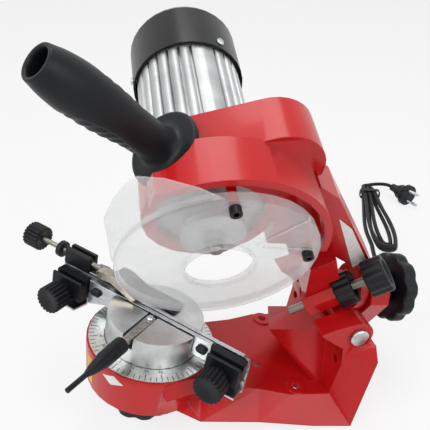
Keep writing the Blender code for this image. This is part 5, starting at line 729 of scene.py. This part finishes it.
class SHARPENER_OT_handle(bpy.types.Operator):
    """Make the bar handle with its flange and two grooved leaf panels"""

    bl_idname = "sharpener.handle"
    bl_label = "Handle"

    def execute(self, context):
        """r(s, a) is the turned profile less a leaf-shaped recess, whose floor has waves bent like a chevron:
        depth = m(s, a) * (leaf + wave * (0.5 + 0.5 cos(k (s + c a^2)))), where m rises smoothly from 0 at the
        leaf's rim to 1 inside it."""
        foot = GRIP_SEAT + GRIP_FLANGE
        top = foot + GRIP_BAR
        profile = rounded_line([
            (POLE, GRIP_SEAT), *((GRIP_RIM * share, GRIP_SEAT + high) for share, high in FLANGE_SHAPE),
            *((radius, foot + high) for radius, high in BAR_SHAPE),
            *((radius, top - deep) for radius, deep in HOLLOW_SHAPE),
        ])
        gaps = np.concatenate([[0], np.cumsum(np.linalg.norm(np.diff(profile, axis=0), axis=1))])
        marks = np.unique(np.concatenate([gaps, np.arange(0, gaps[-1], 0.9 * MM)]))
        radius, along = np.interp(marks, gaps, profile[:, 0]), np.interp(marks, gaps, profile[:, 1])
        angle = np.linspace(-math.pi, math.pi, 128, endpoint=False)
        outside = (marks < gaps[np.argmax(profile[:, 1])]) & (along > foot)
        s = (along - foot - LEAF_START) / (GRIP_BAR - LEAF_SHORT)
        leaf = np.sin(math.pi * np.clip(s, 0, 1)) ** 0.8 * LEAF_WIDTH
        away = np.minimum(np.abs(angle), math.pi - np.abs(angle))
        inside = np.clip((leaf[:, None] - away[None, :]) / LEAF_EDGE, 0, 1)
        mask = inside * inside * (3 - 2 * inside) * outside[:, None]
        bend = along[:, None] + CHEVRON * away[None, :] ** 2
        wave = 0.5 + 0.5 * np.cos(math.tau * sizes().grip_grooves * bend / (GRIP_BAR - LEAF_SHORT))
        r = radius[:, None] - mask * (LEAF_DEPTH + WAVE_DEPTH * wave)
        rings = np.stack([r * np.cos(angle), r * np.sin(angle), along[:, None] + 0 * angle], axis=-1)
        rings = at(handle_matrix(), rings)
        wear(skin("bar_handle", rings, "head", ("handle_grip",), 50.0), "nylon")
        return {"FINISHED"}


def axis_frame(along, near, origin):
    """A frame whose Z runs along, and whose X lies square to it, as close as it can to near."""
    along = np.asarray(along) / np.linalg.norm(along)
    near = np.asarray(near) - along * (np.asarray(near) @ along)
    near /= np.linalg.norm(near)
    matrix = np.eye(4)
    matrix[:3, 0], matrix[:3, 1], matrix[:3, 2], matrix[:3, 3] = near, np.cross(along, near), along, origin
    return matrix


def handle_matrix():
    """The handle's own frame: its Z along the bar, and its X towards the grooved panel below."""
    return axis_frame((0.3230, -0.6665, 0.6719), (0.35, -0.45, -0.75), (0.07917, -0.05616, 0.28102))


# Knobs
PAWL_SCREW = VISE @ move(-0.146, 0.0062, 0.0825)
TILT_NECK = ((POLE, 0.2243), (0.0140, 0.2243), (0.0158, 0.2260), (0.0160, 0.2388), (POLE, 0.2388))
SWIVEL_NECK = ((POLE, -0.0155), (0.0147, -0.0155), (0.0147, -0.0010), (0.0140, -0.0003), (POLE, -0.0003))
END_STUD = ((POLE, -0.010), (0.003, -0.010), (0.003, 0.0197), (POLE, 0.0197))
END_KNOBS = (("left", -0.097), ("right", 0.079))  # places along the vise


def depth_matrix():
    """The depth stop's own frame, its Z along the rod, away from the stop ledge."""
    along = (0.3196, 0.7722, 0.5492)
    return axis_frame(along, np.cross(along, (0, 0, 1.0)), (0.06132, 0.05727, 0.09334))


class SHARPENER_OT_knobs(bpy.types.Operator):
    """Make the moulded knobs of the tilt, swivel, end blocks, pawl and depth stop"""

    bl_idname = "sharpener.knobs"
    bl_label = "Knobs"

    def execute(self, context):
        """The large knobs have lobes, the small ones ribs, and the depth stop's have wells in their ends."""
        lobes, ribs = sizes().knob_lobes, sizes().rib_count
        tilt = lobed_knob(HEAD, radius=0.0360, low=0.2375, high=0.2520, lobes=lobes, depth=2.6 * MM,
                          edge=3.5 * MM, dish=2.0 * MM, axis="Y")
        tilt_neck = revolve(HEAD, rounded_line(TILT_NECK, 1), 40, "Y")
        join_skins("tilt_grip", [tilt, tilt_neck], "tilt_knob", ("tilt_knob",))
        swivel = lobed_knob(MACHINE, radius=0.0345, low=-0.03427, high=-0.01427, lobes=lobes, depth=2.6 * MM,
                            edge=3.5 * MM, dish=1.5 * MM)
        swivel_neck = revolve(MACHINE, rounded_line(SWIVEL_NECK, 1), 40)
        join_skins("swivel_grip", [swivel, swivel_neck], "swivel_knob", ("swivel_knob",))
        for side, along in END_KNOBS:
            place = VISE @ move(along, -0.0213, 0.0545)
            knob = lobed_knob(place, radius=0.0138, low=-0.017, high=-0.0002, lobes=ribs, depth=1.6 * MM,
                              edge=1.4 * MM, dish=1.6 * MM, axis="Y", steps=8)
            stud = revolve(place, END_STUD, 20, "Y")
            join_skins(side + "_grip", [knob, stud], side + "_knob", (side + "_knob",))
        pawl = lobed_knob(PAWL_SCREW, radius=0.0128, low=-0.018, high=0.0, lobes=ribs, depth=1.4 * MM,
                          edge=1.4 * MM, dish=1.2 * MM, axis="X", steps=8)
        join_skins("pawl_grip", [pawl], "pawl_knob", ("pawl_knob",))
        rod = depth_matrix()
        lock = lobed_knob(rod, radius=0.0165, low=0.0523, high=0.0693, lobes=lobes, depth=1.3 * MM,
                          edge=1.6 * MM, dish=0.8 * MM, bore=4.3 * MM, well=(0.0110, 0.0080))
        join_skins("depth_lock_grip", [lock], "depth_lock_knob", ("depth_lock_knob",), bored=True)
        end = lobed_knob(rod, radius=0.0178, low=0.0825, high=0.1025, lobes=lobes, depth=1.3 * MM,
                         edge=1.6 * MM, dish=0.4 * MM, well=(0.0118, 0.0095))
        join_skins("depth_grip", [end], "depth_knob", ("depth_knob",))
        return {"FINISHED"}


def join_skins(name, parts, body, nodes, bored=False):
    """Several closed skins as one piece, each with its own end faces, or closed round its bore."""
    points, faces, first = [], [], 0
    for rings in parts:
        if bored:
            rings = np.concatenate([rings, rings[:1]])
        rows, columns = rings.shape[:2]
        points.append(rings.reshape(-1, 3))
        faces += ring_faces(rows, columns, first)
        if not bored:
            faces.append([first + k for k in range(columns)][::-1])
            faces.append([first + (rows - 1) * columns + k for k in range(columns)])
        first += rows * columns
    made = make_piece(name, np.concatenate(points), faces, body, nodes, 45.0)
    return wear(made, "nylon")


# Vise
class SHARPENER_OT_vise(bpy.types.Operator):
    """Make the turntable, jaws, end blocks, stop bar, lever and pawl"""

    bl_idname = "sharpener.vise"
    bl_label = "Vise"

    def execute(self, context):
        dress_copies(["turntable"], "vise", "turned", 30.0)
        dress_copies(["rear_jaw"], "vise", "zinc")
        dress_copies(["front_jaw"], "front_jaw", "zinc")
        dress_copies(["left_bracket", "right_bracket"], "vise", "zinc")
        dress_copies(["left_block", "right_block", "slider_block"], "vise", "nylon")
        dress_copies(["guide_pin_left", "guide_pin_right"], "front_jaw", "nylon")
        dress_copies(["stop_bar", "stop_bar_screw"], "vise", "oxide")
        dress_copies(["lever_arm"], "clamp_lever", "steel")
        dress_copies(["clamp_screw"], "clamp_lever", "zinc")
        dress_copies(["lever_grip"], "clamp_lever", "nylon", 50.0)
        dress_copies(["pawl"], "pawl", "nickel")
        dress_copies(["pawl_backing"], "pawl", "oxide")
        dress_copies(["pawl_lock_ring"], "pawl_lock_ring", "oxide")
        dress_copies(["swivel_bolt"], "vise", "steel")
        dress_copies(["scale_plate"], "base", "scale")
        screw = dress_copies(["pawl_screw"], "pawl_screw", "steel")[0]
        wear(screw, threaded_steel(VISE[:3, 0], PAWL_SCREW[:3, 3], 0.001))
        return {"FINISHED"}


SCALE_TOP = 0.0443 + SLEEVE  # top of the printed marks above the machine's own origin
MARK_INNER, LONG_MARK_INNER, MARK_OUTER, MARK_HALF = 0.0545, 0.0515, 0.0592, 0.00032
MARK_STEP, LONG_MARK_STEP = 5, 15
NUMBER_RADIUS, NUMBER_SIZE = 0.0485, 0.0044
SCALE_ZERO = -45  # where the numbers count from, in degrees


class SHARPENER_OT_scale(bpy.types.Operator):
    """Print the angle marks and plain numbers on the scale plate"""

    bl_idname = "sharpener.scale"
    bl_label = "Angle scale"

    def execute(self, context):
        """A mark is a thin bar along a radius: every 5 degrees, and longer every 15."""
        points, faces = [], []
        for index, degrees in enumerate(range(-180, 180, MARK_STEP)):
            inner = LONG_MARK_INNER if degrees % LONG_MARK_STEP == 0 else MARK_INNER
            c, s = math.cos(math.radians(degrees)), math.sin(math.radians(degrees))
            out, side = np.array([c, s]), np.array([-s, c]) * MARK_HALF
            near, far = out * inner, out * MARK_OUTER
            corners = [near - side, far - side, far + side, near + side]
            for height in (SCALE_TOP - SLEEVE * 0.5, SCALE_TOP):
                points += [(*corner, height) for corner in corners]
            k = index * 8
            faces += [[k, k + 3, k + 2, k + 1], [k + 4, k + 5, k + 6, k + 7]]
            faces += [[k + i, k + (i + 1) % 4, k + 4 + (i + 1) % 4, k + 4 + i] for i in range(4)]
        marks = make_piece("scale_marks", at(MACHINE, points), faces, "base", (), 30.0)
        wear(marks, "black_print")
        for degrees in range(-90, 1, LONG_MARK_STEP):
            self.number(str(abs(degrees - SCALE_ZERO)), degrees)
        return {"FINISHED"}

    def number(self, text, degrees):
        """A plain number in the built-in letters, upright towards the scale's centre."""
        curve = bpy.data.curves.new("number", "FONT")
        curve.body, curve.size = text, NUMBER_SIZE
        curve.align_x, curve.align_y = "CENTER", "CENTER"
        curve.extrude = SLEEVE / 4
        flat = bpy.data.objects.new("number", curve)
        bpy.context.scene.collection.objects.link(flat)
        mesh = bpy.data.meshes.new_from_object(flat.evaluated_get(bpy.context.evaluated_depsgraph_get()))
        bpy.data.objects.remove(flat)
        place = MACHINE @ turn("Z", degrees) @ move(NUMBER_RADIUS, 0, SCALE_TOP - SLEEVE / 2) @ turn("Z", 90)
        mesh.transform(Matrix(place.tolist()))
        made = settle(f"scale_number_{degrees % 360}", mesh, "base", (), 30.0)
        wear(made, "black_print")


# Labels
COLUMN_LABEL = (  # along and up the head
    (0.1247, 0.1085), (0.1440, 0.0958), (0.1855, 0.0493), (0.1789, 0.0345))
NOSE_LABELS = (  # name, direction in degrees, look, corners across and up the nose
    ("nose_strip", -73.0, "yellow", (
        (-0.0060, 0.0360), (0.0060, 0.0360), (0.0060, 0.0060), (-0.0060, 0.0060))),
    ("nose_diamond", -42.0, "white", (
        (-0.0110, 0.0335), (0.0010, 0.0395), (0.0110, 0.0335), (-0.0010, 0.0275))),
)
NOSE_REACH = 0.09  # the nose's labels start this far out, and are laid inwards onto it


def laid_on(carrier, grid, aim):
    """A grid of places, each moved along aim onto the carrier's surface."""
    surface = BVHTree.FromObject(carrier, bpy.context.evaluated_depsgraph_get())
    hits = [surface.ray_cast(Vector(place), Vector(aim))[0] or Vector(place) for place in grid.reshape(-1, 3)]
    return np.array(hits).reshape(grid.shape)


def sticker(name, grid, aim, body, material):
    """A thin sheet over a grid of places on a surface, which stands off against aim by its own thickness."""
    rows, columns = grid.shape[:2]
    toward, hits = np.asarray(aim, float), grid.reshape(-1, 3)
    outer = hits - toward * SLEEVE * 2
    inner = hits - toward * SLEEVE * 0.5
    faces = ring_faces(rows, columns, 0, False)
    count = rows * columns
    faces += [[k + count for k in face][::-1] for face in faces]
    edge = [*range(columns), *range(columns * 2 - 1, count, columns),
            *range(count - 2, count - columns - 1, -1), *range(count - columns * 2, 0, -columns)]
    faces += [[a, b, b + count, a + count] for a, b in zip(edge, edge[1:] + edge[:1])]
    sheet = make_piece(name, np.concatenate([outer, inner]), faces, body, (), 30.0)
    return wear(sheet, material)


def corner_grid(corners, rows, columns):
    """A bilinear grid between four corners in order round the sheet."""
    a, b, c, d = np.asarray(corners, float)
    u, v = np.linspace(0, 1, columns)[None, :, None], np.linspace(0, 1, rows)[:, None, None]
    return (a * (1 - u) + b * u) * (1 - v) + (d * (1 - u) + c * u) * v


class SHARPENER_OT_labels(bpy.types.Operator):
    """Lay the bare labels on the column and the nose"""

    bl_idname = "sharpener.labels"
    bl_label = "Bare labels"

    def execute(self, context):
        """The column's strip follows its upper edge, and the nose has a yellow strip and a white diamond."""
        base = bpy.data.objects["base_casting_finished"]
        strip = at(HEAD, corner_grid([(0.0, along, high) for along, high in COLUMN_LABEL], 12, 5))
        sticker("column_label", strip, -HEAD[:3, 0], "head", "white")
        for name, angle, material, corners in NOSE_LABELS:
            place = MACHINE @ turn("Z", angle)
            grid = at(place, corner_grid([(NOSE_REACH, side, high) for side, high in corners], 8, 8))
            sticker(name, laid_on(base, grid, -place[:3, 0]), -place[:3, 0], "base", material)
        return {"FINISHED"}


# Pivot and depth stop
class SHARPENER_OT_pivots(bpy.types.Operator):
    """Make the pivot bolt, tilt bolt, return spring and depth rod"""

    bl_idname = "sharpener.pivots"
    bl_label = "Pivots and depth stop"

    def execute(self, context):
        dress_copies(["pivot_bolt", "pivot_nut"], "base", "zinc")
        dress_copies(["tilt_bolt"], "head", "steel")
        dress_copies(["return_spring"], "swing", "oxide", 60.0)
        rod = dress_copies(["depth_rod"], "depth_rod", "steel")[0]
        matrix = depth_matrix()
        wear(rod, threaded_steel(matrix[:3, 2], matrix[:3, 3], sizes().thread_pitch))
        return {"FINISHED"}


# Stage
CAMERA_TURN, CAMERA_RISE = 14.52, 30.01  # degrees round the machine and above it
CAMERA_PLACE = (0.0690, 0.1535, 0.5222)  # from the machine's origin to the right, up and back
CAMERA_LENS, CAMERA_SENSOR = 44.0, 36.0  # mm
CAMERA_NEAR, CAMERA_FAR = 0.02, 50.0
LAMPS = (  # name, place, what it points at, side, watts, colour
    ("key_lamp", (0.75, -1.15, 1.55), (0.05, 0.0, 0.15), 0.9, 13.5, (1.0, 0.99, 0.97)),
    ("fill_lamp", (1.35, 0.75, 0.95), (0.05, 0.0, 0.18), 1.0, 6.5, (0.98, 0.99, 1.0)),
    ("top_lamp", (-0.35, 0.15, 1.75), (0.0, 0.0, 0.20), 0.8, 8.5, (1.0, 1.0, 1.0)),
)
WHITE = (1, 1, 1, 1)
ROOM_LIGHT, ROOM_SEEN = 0.42, 1.0  # strengths of the room as a light and as what is seen
FLOOR_HALF, FLOOR_STEPS, FLOOR_LIFT, FLOOR_DROP = 4.0, 9, 0.80, 0.0002


class SHARPENER_OT_stage(bpy.types.Operator):
    """Set the floor, the soft lamps and the camera"""

    bl_idname = "sharpener.stage"
    bl_label = "Stage"

    def execute(self, context):
        scene = context.scene
        scene.view_settings.view_transform = "Standard"
        camera_data = bpy.data.cameras.new("camera")
        camera_data.sensor_width, camera_data.lens = CAMERA_SENSOR, CAMERA_LENS
        camera_data.clip_start, camera_data.clip_end = CAMERA_NEAR, CAMERA_FAR
        camera = bpy.data.objects.new("camera", camera_data)
        scene.collection.objects.link(camera)
        matrix = np.eye(4)
        matrix[:3, :3] = camera_axes()
        matrix[:3, 3] = MACHINE[:3, 3] + matrix[:3, :3] @ CAMERA_PLACE
        camera.matrix_world = Matrix(matrix.tolist())
        scene.camera = camera
        self.floor()
        self.world(scene)
        for name, place, aim, size, power, tint in LAMPS:
            data = bpy.data.lights.new(name, "AREA")
            data.size, data.energy, data.color = size, power, tint
            lamp = bpy.data.objects.new(name, data)
            scene.collection.objects.link(lamp)
            lamp.location = place
            lamp.rotation_euler = (Vector(aim) - Vector(place)).to_track_quat("-Z", "Y").to_euler()
        return {"FINISHED"}

    def floor(self):
        """A pale square sheet 8 m wide, whose seen colour is lifted towards white but keeps the shadow."""
        grid = np.linspace(-FLOOR_HALF, FLOOR_HALF, FLOOR_STEPS)
        x, y = np.meshgrid(grid, grid)
        points = np.stack([x, y, 0 * x - FLOOR_DROP], axis=-1).reshape(-1, 3)
        mesh = bpy.data.meshes.new("floor")
        mesh.from_pydata(points.tolist(), [], ring_faces(FLOOR_STEPS, FLOOR_STEPS, 0, False))
        floor = bpy.data.objects.new("floor", mesh)
        bpy.context.scene.collection.objects.link(floor)
        m = blank("pale_matt_floor")
        share = add(m, "ShaderNodeMath", {0: seen_ray(m), 1: FLOOR_LIFT}, operation="MULTIPLY")
        matt = add(m, "ShaderNodeBsdfDiffuse", {"Color": linear(colours().floor)})
        glow = add(m, "ShaderNodeEmission", {"Color": WHITE, "Strength": 1.0})
        mix = add(m, "ShaderNodeMixShader", {0: share.outputs[0], 1: matt.outputs[0], 2: glow.outputs[0]})
        close(m, mix, linear(colours().floor))
        wear(floor, m)

    def world(self, scene):
        """Even pale light, and plain white where the camera, a gloss or clear plastic sees past the floor."""
        scene.world = world = bpy.data.worlds.new("studio")
        world.use_nodes = True
        world.node_tree.nodes.clear()
        soft = add(world, "ShaderNodeBackground", {"Color": WHITE, "Strength": ROOM_LIGHT})
        white = add(world, "ShaderNodeBackground", {"Color": WHITE, "Strength": ROOM_SEEN})
        mix = add(world, "ShaderNodeMixShader", {0: seen_ray(world), 1: soft.outputs[0], 2: white.outputs[0]})
        add(world, "ShaderNodeOutputWorld", {"Surface": mix.outputs[0]})


def seen_ray(holder):
    """1 for a ray that the camera, a gloss or clear plastic sees by, and 0 for one that only lights."""
    ray = add(holder, "ShaderNodeLightPath")
    seen = add(holder, "ShaderNodeMath", {
        0: ray.outputs["Is Camera Ray"], 1: ray.outputs["Is Glossy Ray"]}, operation="MAXIMUM")
    return add(holder, "ShaderNodeMath", {
        0: seen.outputs[0], 1: ray.outputs["Is Transmission Ray"]}, operation="MAXIMUM").outputs[0]


def camera_axes():
    """The camera's right, up and back directions as columns, from its turn and rise round the machine."""
    turned, raised = math.radians(CAMERA_TURN), math.radians(CAMERA_RISE)
    right = (math.sin(turned), math.cos(turned), 0)
    back = (math.cos(turned) * math.cos(raised), -math.sin(turned) * math.cos(raised), math.sin(raised))
    return np.stack([right, np.cross(back, right), back], axis=1)


class SHARPENER_PT_panel(bpy.types.Panel):
    """Lists the sharpener's pieces in the sidebar"""

    bl_label = "Sharpener"
    bl_idname = "SHARPENER_PT_panel"
    bl_space_type = "VIEW_3D"
    bl_region_type = "UI"
    bl_category = "Sharpener"

    def draw(self, context):
        column = self.layout.column()
        for group in (context.scene.sharpener_sizes, context.scene.sharpener_colours):
            for name in group.__annotations__:
                column.prop(group, name)
        for operator in OPERATORS:
            column.operator(operator.bl_idname)


OPERATORS = (
    SHARPENER_OT_stage,
    SHARPENER_OT_lead,
    SHARPENER_OT_castings,
    SHARPENER_OT_motor,
    SHARPENER_OT_guard,
    SHARPENER_OT_handle,
    SHARPENER_OT_knobs,
    SHARPENER_OT_vise,
    SHARPENER_OT_scale,
    SHARPENER_OT_labels,
    SHARPENER_OT_pivots,
)
CLASSES = (SharpenerSizes, SharpenerColours, *OPERATORS, SHARPENER_PT_panel)


def register():
    for item in CLASSES:
        bpy.utils.register_class(item)
    bpy.types.Scene.sharpener_sizes = PointerProperty(type=SharpenerSizes)
    bpy.types.Scene.sharpener_colours = PointerProperty(type=SharpenerColours)


def unregister():
    del bpy.types.Scene.sharpener_colours
    del bpy.types.Scene.sharpener_sizes
    for item in reversed(CLASSES):
        bpy.utils.unregister_class(item)


def main():
    """Builds every piece in order."""
    register()
    for operator in OPERATORS:
        group, name = operator.bl_idname.split(".")
        getattr(getattr(bpy.ops, group), name)()


if __name__ == "__main__":
    main()
